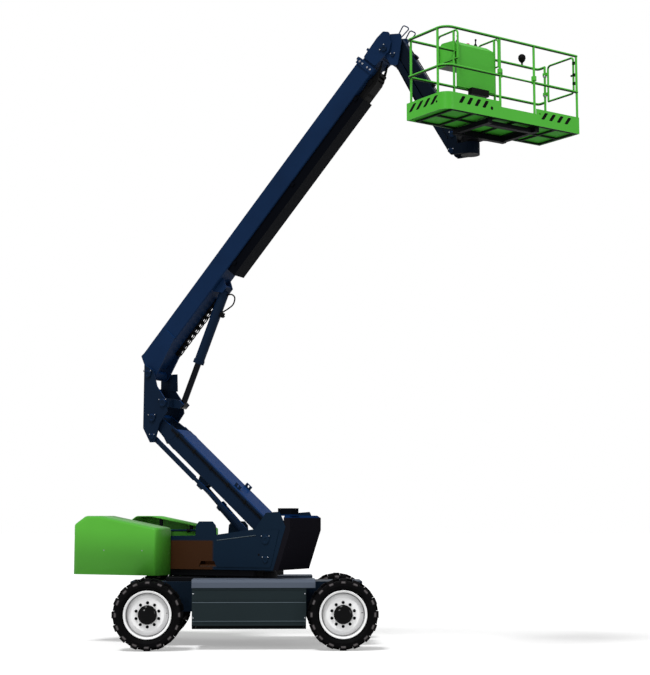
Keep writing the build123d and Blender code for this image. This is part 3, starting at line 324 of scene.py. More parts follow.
# rings about both wheel axes: distance from the nearer axle line, so that one material serves all wheels;
# patches keep the ring only near the lugs, where cos(lugs * angle) plus a little noise is high
def wheelRing(radius, soft, hexColour, width, patches=False):
    def build(tree, coords, colour):
        split = addNode(tree, "ShaderNodeSeparateXYZ", {"Vector": coords})
        ax = addNode(tree, "ShaderNodeMath", {0: split.outputs["X"]}, operation="ABSOLUTE")
        dx = addNode(tree, "ShaderNodeMath", {0: ax.outputs[0], 1: wheels["axleX"]}, operation="SUBTRACT")
        height = split.outputs["Z"]
        dz = addNode(tree, "ShaderNodeMath", {0: height, 1: wheels["axleZ"]}, operation="SUBTRACT")
        flat = addNode(tree, "ShaderNodeCombineXYZ", {"X": dx.outputs[0], "Y": dz.outputs[0]})
        far = addNode(tree, "ShaderNodeVectorMath", {0: flat.outputs[0]}, operation="LENGTH")
        off = addNode(tree, "ShaderNodeMath", {0: far.outputs["Value"], 1: radius}, operation="SUBTRACT")
        near = addNode(tree, "ShaderNodeMath", {0: off.outputs[0]}, operation="ABSOLUTE")
        step = addNode(tree, "ShaderNodeMapRange", {
            "Value": near.outputs[0], "From Min": width + soft, "From Max": width - soft})
        mask = step.outputs["Result"]
        if patches:
            angle = addNode(tree, "ShaderNodeMath", {0: dx.outputs[0], 1: dz.outputs[0]}, operation="ARCTAN2")
            lugs = float(wheels["lugs"])
            turns = addNode(tree, "ShaderNodeMath", {0: angle.outputs[0], 1: lugs}, operation="MULTIPLY")
            wave = addNode(tree, "ShaderNodeMath", {0: turns.outputs[0]}, operation="COSINE")
            # noise that breaks up the painted light on the lug shoulders
            lugLightNoise = addNode(tree, "ShaderNodeTexNoise",
                           {"Vector": coords, "Scale": perGrain(38), "Detail": 3.0})
            both = {0: wave.outputs[0], 1: lugLightNoise.outputs["Fac"]}
            blend = addNode(tree, "ShaderNodeMath", both, operation="ADD")
            patch = addNode(tree, "ShaderNodeMapRange", {
                "Value": blend.outputs[0], "From Min": 0.75, "From Max": 1.15})
            kept = {0: mask, 1: patch.outputs["Result"]}
            mask = addNode(tree, "ShaderNodeMath", kept, operation="MULTIPLY").outputs[0]
        mix = addNode(tree, "ShaderNodeMix", {
            "Factor": mask, "A": colour, "B": linear(hexColour)}, data_type="RGBA")
        return mix.outputs["Result"]
    return build


# moulded tyre rubber: dull black with grey dust in the pores and a coarse mould grain
def mouldedRubber(name, tone, dusty, regions=()):
    grains = {"cloud": 120, "mould": 14}
    material, tree, shader, coords = startMaterial(name, Specular_IOR_Level=0.06)
    cloud = addNode(tree, "ShaderNodeTexNoise", {
        "Vector": coords, "Scale": perGrain(grains["cloud"]), "Detail": 6.0, "Roughness": 0.7})
    mask = addNode(tree, "ShaderNodeMapRange", {
        "Value": cloud.outputs["Fac"], "From Min": 0.5, "From Max": 0.78})
    mix = addNode(tree, "ShaderNodeMix", {
        "Factor": mask.outputs["Result"], "A": linear(tone), "B": linear(dusty)}, data_type="RGBA")
    colour = mix.outputs["Result"]
    for build in regions:
        colour = build(tree, coords, colour)
    tree.links.new(colour, shader.inputs["Base Color"])
    rough = addNode(tree, "ShaderNodeMapRange", {"Value": cloud.outputs["Fac"], "To Min": 0.6, "To Max": 0.9})
    tree.links.new(rough.outputs["Result"], shader.inputs["Roughness"])
    grain = addNode(tree, "ShaderNodeTexNoise", {"Vector": coords, "Scale": perGrain(grains["mould"]),
                                                 "Detail": 4.0})
    bump = addNode(tree, "ShaderNodeBump", {
        "Height": grain.outputs["Fac"], "Strength": 0.25, "Distance": 0.003})
    tree.links.new(bump.outputs["Normal"], shader.inputs["Normal"])
    return material


# moulded plastic: even colour with a fine leather-like grain and slightly mottled gloss
def mouldedPlastic(name, tone, roughness=0.55, specular=0.3):
    grains = {"leather": 12, "cloud": 160}
    darkShare = 0.8
    material, tree, shader, coords = startMaterial(name, Specular_IOR_Level=specular)
    cells = addNode(tree, "ShaderNodeTexVoronoi", {"Vector": coords, "Scale": perGrain(grains["leather"])})
    cloud = addNode(tree, "ShaderNodeTexNoise", {
        "Vector": coords, "Scale": perGrain(grains["cloud"]), "Detail": 3.0})
    dark = [c * darkShare for c in linear(tone)[:3]] + [1.0]
    mix = addNode(tree, "ShaderNodeMix", {
        "Factor": cloud.outputs["Fac"], "A": linear(tone), "B": dark}, data_type="RGBA")
    tree.links.new(mix.outputs["Result"], shader.inputs["Base Color"])
    rough = addNode(tree, "ShaderNodeMapRange", {
        "Value": cloud.outputs["Fac"], "To Min": roughness - 0.08, "To Max": roughness + 0.12})
    tree.links.new(rough.outputs["Result"], shader.inputs["Roughness"])
    bump = addNode(tree, "ShaderNodeBump", {
        "Height": cells.outputs["Distance"], "Strength": 0.12, "Distance": 0.001})
    tree.links.new(bump.outputs["Normal"], shader.inputs["Normal"])
    return material


# bare metal: plated, with a faint mottle that spreads the highlight; a near-black tone given to it is painted
# shade
def platedMetal(name, tone, roughness, grainMm=6.0):
    darkShare = 0.72
    material, tree, shader, coords = startMaterial(name, Metallic=1.0)
    mottle = addNode(tree, "ShaderNodeTexNoise", {"Vector": coords, "Scale": perGrain(grainMm),
                                                  "Detail": 3.0})
    dark = [c * darkShare for c in linear(tone)[:3]] + [1.0]
    mix = addNode(tree, "ShaderNodeMix", {
        "Factor": mottle.outputs["Fac"], "A": dark, "B": linear(tone)}, data_type="RGBA")
    tree.links.new(mix.outputs["Result"], shader.inputs["Base Color"])
    rough = addNode(tree, "ShaderNodeMapRange", {
        "Value": mottle.outputs["Fac"], "To Min": roughness * 0.7, "To Max": roughness * 1.5})
    tree.links.new(rough.outputs["Result"], shader.inputs["Roughness"])
    return material


wheels = {"axleX": 1.375, "axleZ": 0.5, "lugs": 16, "nutCount": 10, "nutRing": 167.0, "discFace": 95.0,
          "track": 1045.0}
down = (0, 0, -1)
ribLevel = groups["platform"]["origin"][2] + 0.024
# brown deck behind the plates, a blue band of painted highlight and a black box on the cover, paler box lids,
# dark ribs under the floor
brownDeck = region(aheadAxis, -0.3, 0.02, "#382112", below=True, also=(down, -1.52, 0.01))
# painted highlight: a blue band near the cover's top stands in for sky light on its upper edge
coverPaintedHighlight = region(up, 1.852, 0.006, "#0a2349")
coverBox = region(up, 1.9, 0.006, "#0b0d12")
boxLid = region(up, 0.868, 0.004, "#525a67")
floorRibs = region(up, ribLevel, 0.003, "#08180a", below=True)
# painted shade in the rims' groove, and painted light on the shoulders of the tyre lugs
rimGroovePaintedShade = wheelRing(0.299, 0.008, "#2c2d31", 0.005)
lugPaintedLight = wheelRing(0.449, 0.008, "#5a5657", 0.012, patches=True)
finish = {
    # upward-face colours in this table are painted light, bluer or lighter than the paint; on the green the
    # upward colour is darker, as painted shade against the light from above; downward-face colours are
    # painted shade
    "navy": sprayedEnamel("navyEnamelSteel", "#0a1728", "#0e2036", specular=0.05, paintedTopShading="#0a2f60"),
    "chassisNavy": sprayedEnamel("navyEnamelChassis", "#0b1622", "#0f1e2d", specular=0.05,
                                 paintedTopShading="#303a47"),
    "boomBlue": sprayedEnamel("blueEnamelBoom", "#0a1c36", "#10294b", specular=0.05, paintedTopShading="#0b3264"),
    "jibNavy": sprayedEnamel("navyEnamelJib", "#060d18", "#091422", specular=0.04,
                             paintedTopShading="#0a2343", paintedUnderShade="#020306"),
    "tray": sprayedEnamel("blackEnamelTray", "#030409", "#05070d", specular=0.02),
    "turntable": sprayedEnamel("navyEnamelPlate", "#0c1b2a", "#0f2133", specular=0.05,
                               paintedTopShading="#0d2a4b", regions=(brownDeck,)),
    "cover": sprayedEnamel("blackEnamelCover", "#141318", "#18171c", specular=0.0,
                           regions=(coverPaintedHighlight, coverBox)),
    "green": sprayedEnamel("greenGelCoat", "#52a835", "#58b23a", roughness=0.35, specular=0.15, peel=0.008,
                           paintedTopShading="#4ca135"),
    "greenTube": sprayedEnamel("greenEnamelTube", "#47aa30", "#50b43a", roughness=0.35, specular=0.15,
                               paintedUnderShade="#0d2a09"),
    "grey": sprayedEnamel("greyEnamelBox", "#1c2528", "#212b2e", specular=0.05, regions=(boxLid,)),
    "white": sprayedEnamel("whiteEnamelRim", "#eeeeef", "#f4f4f4", roughness=0.3, specular=0.3,
                           regions=(rimGroovePaintedShade,)),
    "blackSteel": sprayedEnamel("blackEnamelSteel", "#040508", "#07080c", roughness=0.5, specular=0.06),
    "weight": sprayedEnamel("navyCastIron", "#0a1424", "#0d1b30", roughness=0.55, specular=0.05, peel=0.08),
    "rubber": mouldedRubber("tyreRubber", "#020203", "#0d0d0f", regions=(lugPaintedLight,)),
    "hose": mouldedRubber("hoseRubber", "#040405", "#0b0b0d"),
    "plastic": mouldedPlastic("blackPolypropylene", "#050506", specular=0.08),
    "glossPlastic": mouldedPlastic("blackGlossCap", "#020203", roughness=0.1, specular=0.12),
    "battery": mouldedPlastic("batteryCase", "#101114", specular=0.1),
    # the rods' near-black tone is painted shade standing in for their shadow
    "chrome": platedMetal("darkRodPaintedShade", "#1b1d22", 0.2),
    "zinc": platedMetal("zincPlatedSteel", "#b9bcc2", 0.34, 3.0),
    "red": mouldedPlastic("redStopButton", "#b3150f", roughness=0.35),
    "stripe": mouldedPlastic("blackStripeTape", "#040405", roughness=0.6, specular=0.05),
    "tread": sprayedEnamel("greenTreadPlate", "#2f7d22", "#3a8f2b", roughness=0.5, specular=0.04,
                           regions=(floorRibs,)),
    "trim": sprayedEnamel("greyEnamelTrim", "#48535a", "#505c63"),
}
nodeFinish = {
    "chassisNavy": "chassis_frame",
    "navy": "lower_boom level_link upright lower_lift_barrel main_lift_barrel",
    "jibNavy": "jib_arm jib_link jib_lift_barrel rotator_bracket",
    "boomBlue": "main_boom_outer main_boom_inner jib_base",
    "tray": "hose_carrier",
    "turntable": "turntable_frame",
    "cover": "front_cover",
    "green": "hood_left hood_right",
    "greenTube": "toe_boards rail_outer rail_inner entry_bar platform_gate control_console",
    "tread": "platform_floor",
    "grey": "battery_boxes",
    "white": "rim_fr rim_fl rim_rr rim_rl",
    "rubber": "tyre_fr tyre_fl tyre_rr tyre_rl",
    "blackSteel": "slew_ring steer_axle drive_axle knuckle_left knuckle_right tie_rod "
                  "slew_drive power_unit platform_support",
    "weight": "counterweight",
    "plastic": "hose_chain hose_tube socket_box work_lamp",
    "battery": "battery_packs",
    "chrome": "lower_lift_rod main_lift_rod jib_lift_rod",
}
for key, names in nodeFinish.items():
    for name in names.split():
        mesh = nodes[name].data
        mesh.materials.clear()
        mesh.materials.append(finish[key])
print("materials set:", len(finish))

# camera at the photograph's place: 80 mm lens, looking up by 6.86 degrees and 2 degrees to the right
view = {"place": (0.37, -22.58, 1.85), "side": math.radians(-2.0), "pitch": math.radians(-6.86),
        "lens": 80.0, "sensor": 36.0, "reach": 400.0}
flatShare = math.cos(view["pitch"])
backward = Vector((math.sin(view["side"]) * flatShare, -math.cos(view["side"]) * flatShare,
                   math.sin(view["pitch"])))
camera = bpy.data.objects.new("photoCamera", bpy.data.cameras.new("photoCamera"))
camera.data.lens = view["lens"]
camera.data.sensor_width = view["sensor"]
camera.data.clip_end = view["reach"]
camera.location = view["place"]
camera.rotation_euler = (-backward).to_track_quat("-Z", "Y").to_euler()
bpy.context.scene.collection.objects.link(camera)
bpy.context.scene.camera = camera
bpy.context.scene.view_settings.view_transform = "Standard"

# soft overhead light: a broad key from above left, weak fills from the front left and the right, a pale
# surround
light = {"ambient": 0.34, "glossy": 0.7}
suns = (
    # name, strength, direction, angle in degrees
    ("keySun", 2.3, (0.25, 0.42, -1.0), 14),
    ("fillSun", 0.5, (0.35, 0.85, -0.38), 8),
    ("sideSun", 0.5, (-0.8, 0.55, -0.25), 20),
)
for name, strength, direction, angle in suns:
    sun = bpy.data.objects.new(name, bpy.data.lights.new(name, "SUN"))
    sun.data.energy = strength
    sun.data.angle = math.radians(angle)
    sun.rotation_euler = Vector(direction).to_track_quat("-Z", "Y").to_euler()
    bpy.context.scene.collection.objects.link(sun)
world = bpy.data.worlds.new("paleSurround")
bpy.context.scene.world = world
world.use_nodes = True
tree = world.node_tree
tree.nodes.clear()
rays = addNode(tree, "ShaderNodeLightPath").outputs
direct = {0: rays["Is Camera Ray"], 1: rays["Is Transmission Ray"]}
seen = addNode(tree, "ShaderNodeMath", direct, operation="MAXIMUM")
glossy = addNode(tree, "ShaderNodeMath", {0: rays["Is Glossy Ray"], 1: light["glossy"]}, operation="MULTIPLY")
level = addNode(tree, "ShaderNodeMath", {0: seen.outputs[0], 1: glossy.outputs[0]}, operation="MAXIMUM")
strength = addNode(tree, "ShaderNodeMath", {0: level.outputs[0], 1: light["ambient"]}, operation="MAXIMUM")
surround = addNode(tree, "ShaderNodeBackground", {"Color": (1, 1, 1, 1), "Strength": strength.outputs[0]})
addNode(tree, "ShaderNodeOutputWorld", {"Surface": surround.outputs[0]})

# matt white paper: shows the soft shadow and otherwise stays as white as the surround
ground = {"half": 150.0, "level": -0.002, "grey": (0.7, 0.7, 0.7, 1), "glow": 0.36}
floorMesh = bpy.data.meshes.new("paleFloor")
floorSigns = ((-1, -1), (1, -1), (1, 1), (-1, 1))
floorCorners = [(x * ground["half"], y * ground["half"], ground["level"]) for x, y in floorSigns]
floorMesh.from_pydata(floorCorners, [], [(0, 1, 2, 3)])
floorObject = bpy.data.objects.new("paleFloor", floorMesh)
bpy.context.scene.collection.objects.link(floorObject)
paper, tree, shader, coords = startMaterial("matWhitePaper", Roughness=0.95, Specular_IOR_Level=0.0)
shader.inputs["Base Color"].default_value = ground["grey"]
rays = addNode(tree, "ShaderNodeLightPath").outputs
seen = addNode(tree, "ShaderNodeMath", {0: rays["Is Camera Ray"], 1: ground["glow"]}, operation="MULTIPLY")
shader.inputs["Emission Color"].default_value = (1, 1, 1, 1)
tree.links.new(seen.outputs[0], shader.inputs["Emission Strength"])
floorMesh.materials.append(paper)
print("camera, light and floor set")

# the other side's twin: y changes sign, and each face's order turns round with it
def mirrored(shape, side):
    points, faces = shape
    return points * [1, side, 1], faces if side > 0 else [f[::-1] for f in faces]


# points on a circle in a plane square to y: (r cos t, along, r sin t)
def circleSpots(radius, angles, along):
    return np.stack([radius * np.cos(angles), np.full(len(angles), along), radius * np.sin(angles)], -1)


# wheels: each hub carries a glossy domed cap, ten nuts and a valve; the tyre takes the solid's form with
# round shoulders
tyre = {"radius": 500.0, "width": 350.0, "lugLength": 92.0, "lugHeight": 36.0, "flange": 338.0,
        "flangeGap": 4.0,
        "bore": 319.0, "bead": 127.0, "beadLip": 4.0, "shoulderRise": 34.0, "shoulderDraw": 24.0,
        "bulgeRate": 1.35,
        "bulgePower": 0.8, "ribHeight": 3.0, "ribEdge": 30.0, "lugEase": 5.0, "lugShrink": 160.0, "steps": 96}
wheelBodies = {"fr": (1, -1), "fl": (1, 1), "rr": (-1, -1), "rl": (-1, 1)}
nut = {"hex": [(13, 0), (17, 2), (17, 15), (13, 18)], "stud": [(8, 16), (8, 26), (6, 28)],
       "washer": [(22, -1), (22, 3), (20, 4)]}
cap = {"radius": 131.0, "flange": 134.0, "inner": 90.0, "back": 2.0, "edge": 32.0, "foot": 36.0, "rise": 46.0,
       "tip": 0.5}
valveStem = {"path": [(262, -30, 20), (266, -4, 22), (274, 18, 24)], "radius": 5, "steps": 8}


# carcass: profile (radius, across) turned about the axle; lugs: a profile drawn in at both ends, set round
# the tyre
def tyreShape():
    half = tyre["width"] / 2
    top = tyre["radius"]
    base = top - tyre["lugHeight"]
    bead = tyre["bead"]
    shoulderLow = base - tyre["shoulderRise"]
    t = np.linspace(0, 1, 9)
    bulge = np.sin(np.pi / 2 * np.minimum(1, tyre["bulgeRate"] * t)) ** tyre["bulgePower"]
    rise = tyre["flange"] + tyre["flangeGap"] + (shoulderLow - tyre["flange"]) * t
    wall = np.stack([rise, bead + (half - bead) * bulge], -1)
    turn = np.pi / 2 * t[1:]
    shoulderAcross = half - tyre["shoulderDraw"] * (1 - np.cos(turn))
    shoulder = np.stack([shoulderLow + tyre["shoulderRise"] * np.sin(turn), shoulderAcross], -1)
    outer = np.concatenate([wall, shoulder])
    ribs = np.zeros(len(outer))
    ribs[2::3] = tyre["ribHeight"]
    outer[:, 1] += ribs * (outer[:, 0] < base - tyre["ribEdge"])
    crown = np.array([[base + 2, half * 0.5], [base + 3, 0.0], [base + 2, -half * 0.5]])
    lip = np.array([[tyre["bore"], bead - tyre["beadLip"]]])
    profile = np.concatenate([lip, outer, crown, outer[::-1] * [1, -1], lip * [1, -1]])
    carcass = turned(profile, tyre["steps"], closed=True)
    lug = np.array([[base - 12, 8], [top - 5, 8], [top, 14], [top, half - 44], [top - 4, half - 36],
                    [top - 26, half - 6], [base - 20, half + 2], [base - 28, half - 2],
                    [base - 28, half - 22]])
    w = tyre["lugLength"] / 2
    ease = tyre["lugEase"]
    along = np.array([-w, ease - w, -w / 3, w / 3, w - ease, w])
    draw = np.array([ease, 0, 0, 0, 0, ease])
    mid = np.array([base - 12, half * 0.5])
    rows = mid + (lug[None] - mid) * (1 - draw[:, None, None] / tyre["lugShrink"])
    across, height = rows[..., 1], rows[..., 0]
    points = np.stack([np.broadcast_to(along[:, None], height.shape), across, height], -1).reshape(-1, 3)
    cols = len(lug)
    ends = [list(range(cols)), list(range(len(points) - cols, len(points)))]
    faces = gridFaces(len(along), cols) + ends
    count = wheels["lugs"]
    angles = np.arange(count) * 2 * np.pi / count
    still = np.zeros((count, 3))
    near = copies((points, faces), still, turnMatrices((0, 1, 0), angles))
    far = copies(mirrored((points, faces), -1), still, turnMatrices((0, 1, 0), angles + np.pi / count))
    return joined([carcass, near, far])


disc = wheels["discFace"]
domeTurn = np.linspace(0, np.pi / 2, 10)
dome = np.stack([cap["radius"] * np.cos(domeTurn), disc + cap["foot"] + cap["rise"] * np.sin(domeTurn)], -1)
dome[-1, 0] = cap["tip"]
capFoot = [[cap["inner"], disc - cap["back"]], [cap["flange"], disc - cap["back"]],
           [cap["flange"], disc + cap["edge"]]]
nutShape = joined([turned(nut["hex"], 6), turned(nut["stud"], 10), turned(nut["washer"], 20)])
nutAngles = np.linspace(0, 2 * np.pi, wheels["nutCount"], endpoint=False) + np.pi / 2
stemPath = smoothPath(np.array(valveStem["path"]) + [0, disc, 0], 4)
wheelParts = (
    # name, shape, finish, slot, smooth angle, node it stands for
    ("tyreTread_", tyreShape(), "rubber", "tyre_rubber", 30, "tyre_"),
    ("hubCap_", turned(np.concatenate([capFoot, dome]), 48), "glossPlastic", "black_plastic", 35, None),
    ("wheelNuts_", copies(nutShape, circleSpots(wheels["nutRing"], nutAngles, disc)), "blackSteel",
     "shade_steel", 35, None),
    ("valveStem_", tube(stemPath, valveStem["radius"], valveStem["steps"]), "hose", "tyre_rubber", 35, None),
)
for key, (sx, sy) in wheelBodies.items():
    centre = np.array([sx * wheels["axleX"] * 1000, sy * wheels["track"], wheels["axleZ"] * 1000])
    for name, shape, paint, slot, angle, node in wheelParts:
        points, faces = mirrored(shape, sy)
        stands = (node + key,) if node else ()
        makePiece(name + key, (points + centre, faces), finish[paint], "wheel_" + key,
                  smoothAngle=angle, replaces=stands)
print("wheels dressed")

# pins: round heads with a keeper plate and two screws on the outer faces; sizes are shares of the pin's
# radius
pin = {"keeperWide": 0.62, "keeperLong": 2.7, "keeperThick": 7.0, "keeperOut": 0.92, "dishOuter": 0.45,
       "dishInner": 0.4,
       "screw": [(9, 7), (9, 12), (7, 14), (1, 14)]}
pinTable = (
    # group, body, x, z, face, radius
    ("upper", "turntable", 580, 1533, 508, 62),
    ("upper", "turntable", 580, 1248, 508, 44),
    ("upright", "upright", 0, 0, 270, 56),
    ("upright", "upright", 0, -285, 258, 40),
    ("upright", "upright", -87, 680, 270, 56),
    ("upright", "upright", 189, 227, 272, 60),
    ("mainBoom", "fly_boom", 6100, 100, 184, 46),
    ("rotator", "rotator", 0, 0, 140, 40),
    ("rotator", "rotator", -20, -240, 140, 34),
    ("jibBase", "jib_base", -20, -240, 140, 30),
)
for index, (group, body, x, z, face, radius) in enumerate(pinTable):
    dish = [(radius * pin["dishOuter"], 13), (radius * pin["dishInner"], 10), (1, 10)]
    head = turned([(radius, 0), (radius, 9), (radius - 5, 13)] + dish, 36)
    out = radius * pin["keeperOut"]
    points, faces = block((radius * pin["keeperWide"], radius * pin["keeperLong"], pin["keeperThick"]), 8,
                          1.5)
    keeper = (points[:, [1, 2, 0]] + [0, 4, out], faces)
    screw = copies(turned(pin["screw"], 6), [(-radius, 0, out), (radius, 0, out)])
    heads, screws = [], []
    for side in (1, -1):
        for shape, heap in ((head, heads), (keeper, heads), (screw, screws)):
            points, faces = mirrored(shape, side)
            heap.append((points + [x, side * face, z], faces))
    paint = "turntable" if body == "turntable" else "navy"
    makePiece("pinHeads_%02d" % index, joined(heads), finish[paint], body, group)
    makePiece("pinScrews_%02d" % index, joined(screws), finish["zinc"], body, group)
print("pin heads set:", len(pinTable))

# hoods: the side outline, drawn in along its edges over the last stretch to the face, as one moulded skin
# with a wall
hood = {"front": -1018.0, "tail": -2498.0, "face": 932.0, "inner": 514.0, "bottom": 1012.0,
        "frontTop": 1702.0,
        "top": 1882.0, "flatFront": -2030.0, "flatRear": -2295.0, "tailDrop": 129.0, "round": 90.0,
        "soften": 34.0,
        "rim": 60.0, "wall": 0.012, "railY": 476.0, "railZ": 1655.0, "armX": (-1300.0, -1850.0),
        "armOver": 40.0,
        "armGap": 8.0, "latchX": (-1922.0, -1251.0), "latchZ": 1373.0,
        "latch": [(9, -3), (9, 2), (7, 3), (1, 3)],
        "sleeve": [(26, -30), (28, -28), (28, 28), (26, 30)]}
hoodCorners = np.array([
    (hood["front"], hood["bottom"]), (hood["front"], hood["frontTop"]), (hood["flatFront"], hood["top"]),
    (hood["flatRear"], hood["top"]), (hood["tail"], hood["top"] - hood["tailDrop"]),
                        (hood["tail"], hood["bottom"])])
hoodDraw = np.array([0.35, 0.3, 0.3, 0.6, 1.0, 0.0])


# each edge moves in by its share of the inset, neighbouring edges are met again, corners are rounded by a
# parabola
def hoodOutline(inset):
    edge = np.roll(hoodCorners, -1, 0) - hoodCorners
    normal = np.stack([edge[:, 1], -edge[:, 0]], -1) / np.linalg.norm(edge, axis=1)[:, None]
    reach = np.sum(normal * hoodCorners, 1) - hoodDraw * inset
    lines = np.stack([np.roll(normal, 1, 0), normal], 1)
    met = np.linalg.solve(lines, np.stack([np.roll(reach, 1), reach], -1)[..., None])[..., 0]
    before = met[0:4] - met[1:5]
    after = met[2:6] - met[1:5]
    before *= hood["soften"] / np.linalg.norm(before, axis=1)[:, None]
    after *= hood["soften"] / np.linalg.norm(after, axis=1)[:, None]
    t = np.linspace(0, 1, 6)[None, :, None]
    bends = met[1:5, None] + (1 - t) ** 2 * before[:, None] + t**2 * after[:, None]
    return np.concatenate([met[:1], bends.reshape(-1, 2), met[5:]])


turnIn = np.linspace(0, np.pi / 2, 8)
roundY = hood["face"] - hood["round"] + hood["round"] * np.sin(turnIn)
layerY = np.concatenate([[hood["inner"]], roundY, [hood["face"]]])
layerInset = np.concatenate([[0.0], hood["round"] * (1 - np.cos(turnIn)), [hood["round"] + hood["rim"]]])
outlines = np.stack([hoodOutline(e) for e in layerInset])
hoodRows, hoodCols = outlines.shape[:2]
hoodY = np.broadcast_to(layerY[:, None], (hoodRows, hoodCols))
hoodPoints = np.stack([outlines[..., 0], hoodY, outlines[..., 1]], -1).reshape(-1, 3)
hoodFace = list(range((hoodRows - 1) * hoodCols, hoodRows * hoodCols))
hoodFaces = gridFaces(hoodRows, hoodCols, wrapCols=False) + [hoodFace]
roofSlope = (hood["top"] - hood["frontTop"]) / (hood["front"] - hood["flatFront"])
armReach = hood["inner"] + hood["armOver"] - hood["railY"]
arms = []
for x in hood["armX"]:
    roof = hood["frontTop"] + roofSlope * (hood["front"] - x) - hood["armGap"]
    foot = hood["railZ"] - hood["armGap"]
    arms.append(block((60, armReach, 24), 4, 2, (x, hood["railY"] + armReach / 2, hood["railZ"])))
    arms.append(block((54, 20, roof - foot), 4, 2, (x, hood["inner"] + 28, (roof + foot) / 2)))
    arms.append(turned(hood["sleeve"], 28, (1, 0, 0), (x, hood["railY"], hood["railZ"])))
latch = joined([turned(hood["latch"], 24), block((11, 4, 3), 1, 0.5, (0, 3, 0))])
latches = copies(latch, [(x, hood["face"], hood["latchZ"]) for x in hood["latchX"]])
for key, side in (("left", 1), ("right", -1)):
    body = "hood_" + key
    skin = mirrored((hoodPoints, hoodFaces), side)
    shell = makePiece("hoodShell_" + key, skin, finish["green"], body, "upper", 40,
                      replaces=(body,))
    wall = shell.modifiers.new("wall", "SOLIDIFY")
    wall.thickness = hood["wall"]
    wall.offset = -1.0
    makePiece("hoodArms_" + key, mirrored(joined(arms), side), finish["blackSteel"], body,
              "upper")
    makePiece("hoodLatches_" + key, mirrored(latches, side), finish["zinc"], body, "upper")
print("hoods moulded")

# side plates: a welded stiffening rib along each plate and a small drain hole's grommet
plate = {"face": 508.0, "ribStart": (-230.0, 1524.0), "ribEnd": (418.0, 1600.0), "ribRadius": 5.5,
         "ribSteps": 12,
         "hole": (472.0, 1323.0), "grommet": [(16, -2), (16, 2), (11, 3), (10, 1), (1, 1)]}
ribRun = np.linspace(0, 1, plate["ribSteps"])[:, None]
ribPath = np.array(plate["ribStart"]) * (1 - ribRun) + np.array(plate["ribEnd"]) * ribRun
ribs, holes = [], []
for side in (1, -1):
    ribY = np.full(plate["ribSteps"], side * plate["face"])
    ribs.append(tube(np.stack([ribPath[:, 0], ribY, ribPath[:, 1]], -1), plate["ribRadius"], 10))
    place = (plate["hole"][0], side * plate["face"], plate["hole"][1])
    holes.append(turned(plate["grommet"], 20, (0, side, 0), place))
makePiece("plateRibs", joined(ribs), finish["trim"], "turntable", "upper")
makePiece("plateGrommets", joined(holes), finish["plastic"], "turntable", "upper")

# battery boxes: light folded lines along both faces and screws near the corners
boxes = {"rear": -760.0, "front": 855.0, "face": 1060.0, "lines": (664.0, 402.0), "lineSize": (4.0, 11.0),
         "lineEnd": 4.0,
         "screwZ": (785.0, 448.0), "screwIn": 16.0, "screw": [(9, -2), (9, 4), (6, 6), (1, 6)]}
lineSize = (boxes["front"] - boxes["rear"] - 2 * boxes["lineEnd"], *boxes["lineSize"])
lineX = (boxes["front"] + boxes["rear"]) / 2
strips, screws = [], []
for side in (1, -1):
    for z in boxes["lines"]:
        strips.append(block(lineSize, 1.5, 1, (lineX, side * (boxes["face"] + 1), z)))
    for x in (boxes["rear"] + boxes["screwIn"], boxes["front"] - boxes["screwIn"]):
        for z in boxes["screwZ"]:
            screws.append(turned(boxes["screw"], 14, (0, side, 0), (x, side * boxes["face"], z)))
makePiece("boxTrimLines", joined(strips), finish["trim"], "chassis")
makePiece("boxScrews", joined(screws), finish["zinc"], "chassis")

# chassis tray: a low black cover on the frame's top, behind the slewing ring
tray = {"size": (560.0, 700.0, 64.0), "centre": (-900.0, 0.0, 961.0), "corner": 40.0, "bevel": 8.0}
trayShape = block(tray["size"], tray["corner"], tray["bevel"], tray["centre"], 5)
makePiece("chassisTray", trayShape, finish["blackSteel"], "chassis")

# turntable base: the dark welded frame under the deck that carries the ring's upper race, with its ring of
# bolts
base = {"rear": -1100.0, "front": 390.0, "half": 470.0, "low": 1004.0, "high": 1101.0, "corner": 60.0,
        "bevel": 8.0,
        "boltRing": 415.0, "boltCount": 36, "boltZ": 1140.0, "bolt": [(15, 0), (15, 12), (13, 14), (1, 14)]}
baseSize = (base["front"] - base["rear"], 2 * base["half"], base["high"] - base["low"])
baseCentre = ((base["front"] + base["rear"]) / 2, 0, (base["high"] + base["low"]) / 2)
baseFrame = block(baseSize, base["corner"], base["bevel"], baseCentre, 6)
makePiece("turntableBase", baseFrame, finish["blackSteel"], "turntable", "upper")
boltAngles = np.linspace(0, 2 * np.pi, base["boltCount"], endpoint=False)
boltSpots = circleSpots(base["boltRing"], boltAngles, base["boltZ"])[:, [0, 2, 1]]
bolts = copies(turned(base["bolt"], 6, up), boltSpots)
makePiece("ringBolts", bolts, finish["zinc"], "turntable", "upper")
print("turntable dressed")

# toe-board stripes: slanted black tape a millimetre proud; each bar is a parallelogram with its corners cut
stripes = {"low": 104.0, "high": 206.0, "proud": 1.2, "sunk": 2.0, "cut": 0.16, "far": 995.0, "end": -1275.0}
stripeRows = (
    # face, start, pitch, count, width, lean
    ("far", -1036.0, 137.0, 4, 56.0, 64.0),
    ("far", 452.0, 148.0, 4, 58.0, 76.0),
    ("end", 212.0, 156.0, 4, 66.0, 104.0),
)
# face, place along, height, radius
stripeDots = (("far", -452.0, 118.0, 24.0), ("far", 432.0, 176.0, 11.0), ("end", 818.0, 122.0, 16.0))


# flat outlines (u, v) become thin closed plates: back ring, front ring, walls and two ends
def tapePlates(u, v, face):
    level = np.full(u.shape, stripes[face])
    flat = np.stack([level, u, v] if face == "far" else [u, level, v], -1)
    lift = np.array([1.0, 0, 0]) if face == "far" else np.array([0, -1.0, 0])
    rings = np.stack([flat - lift * stripes["sunk"], flat + lift * stripes["proud"]], 1)
    n = u.shape[1]
    faces = gridFaces(2, n) + [list(range(n))[::-1], list(range(n, 2 * n))]
    return joined([(ring.reshape(-1, 3), faces) for ring in rings])


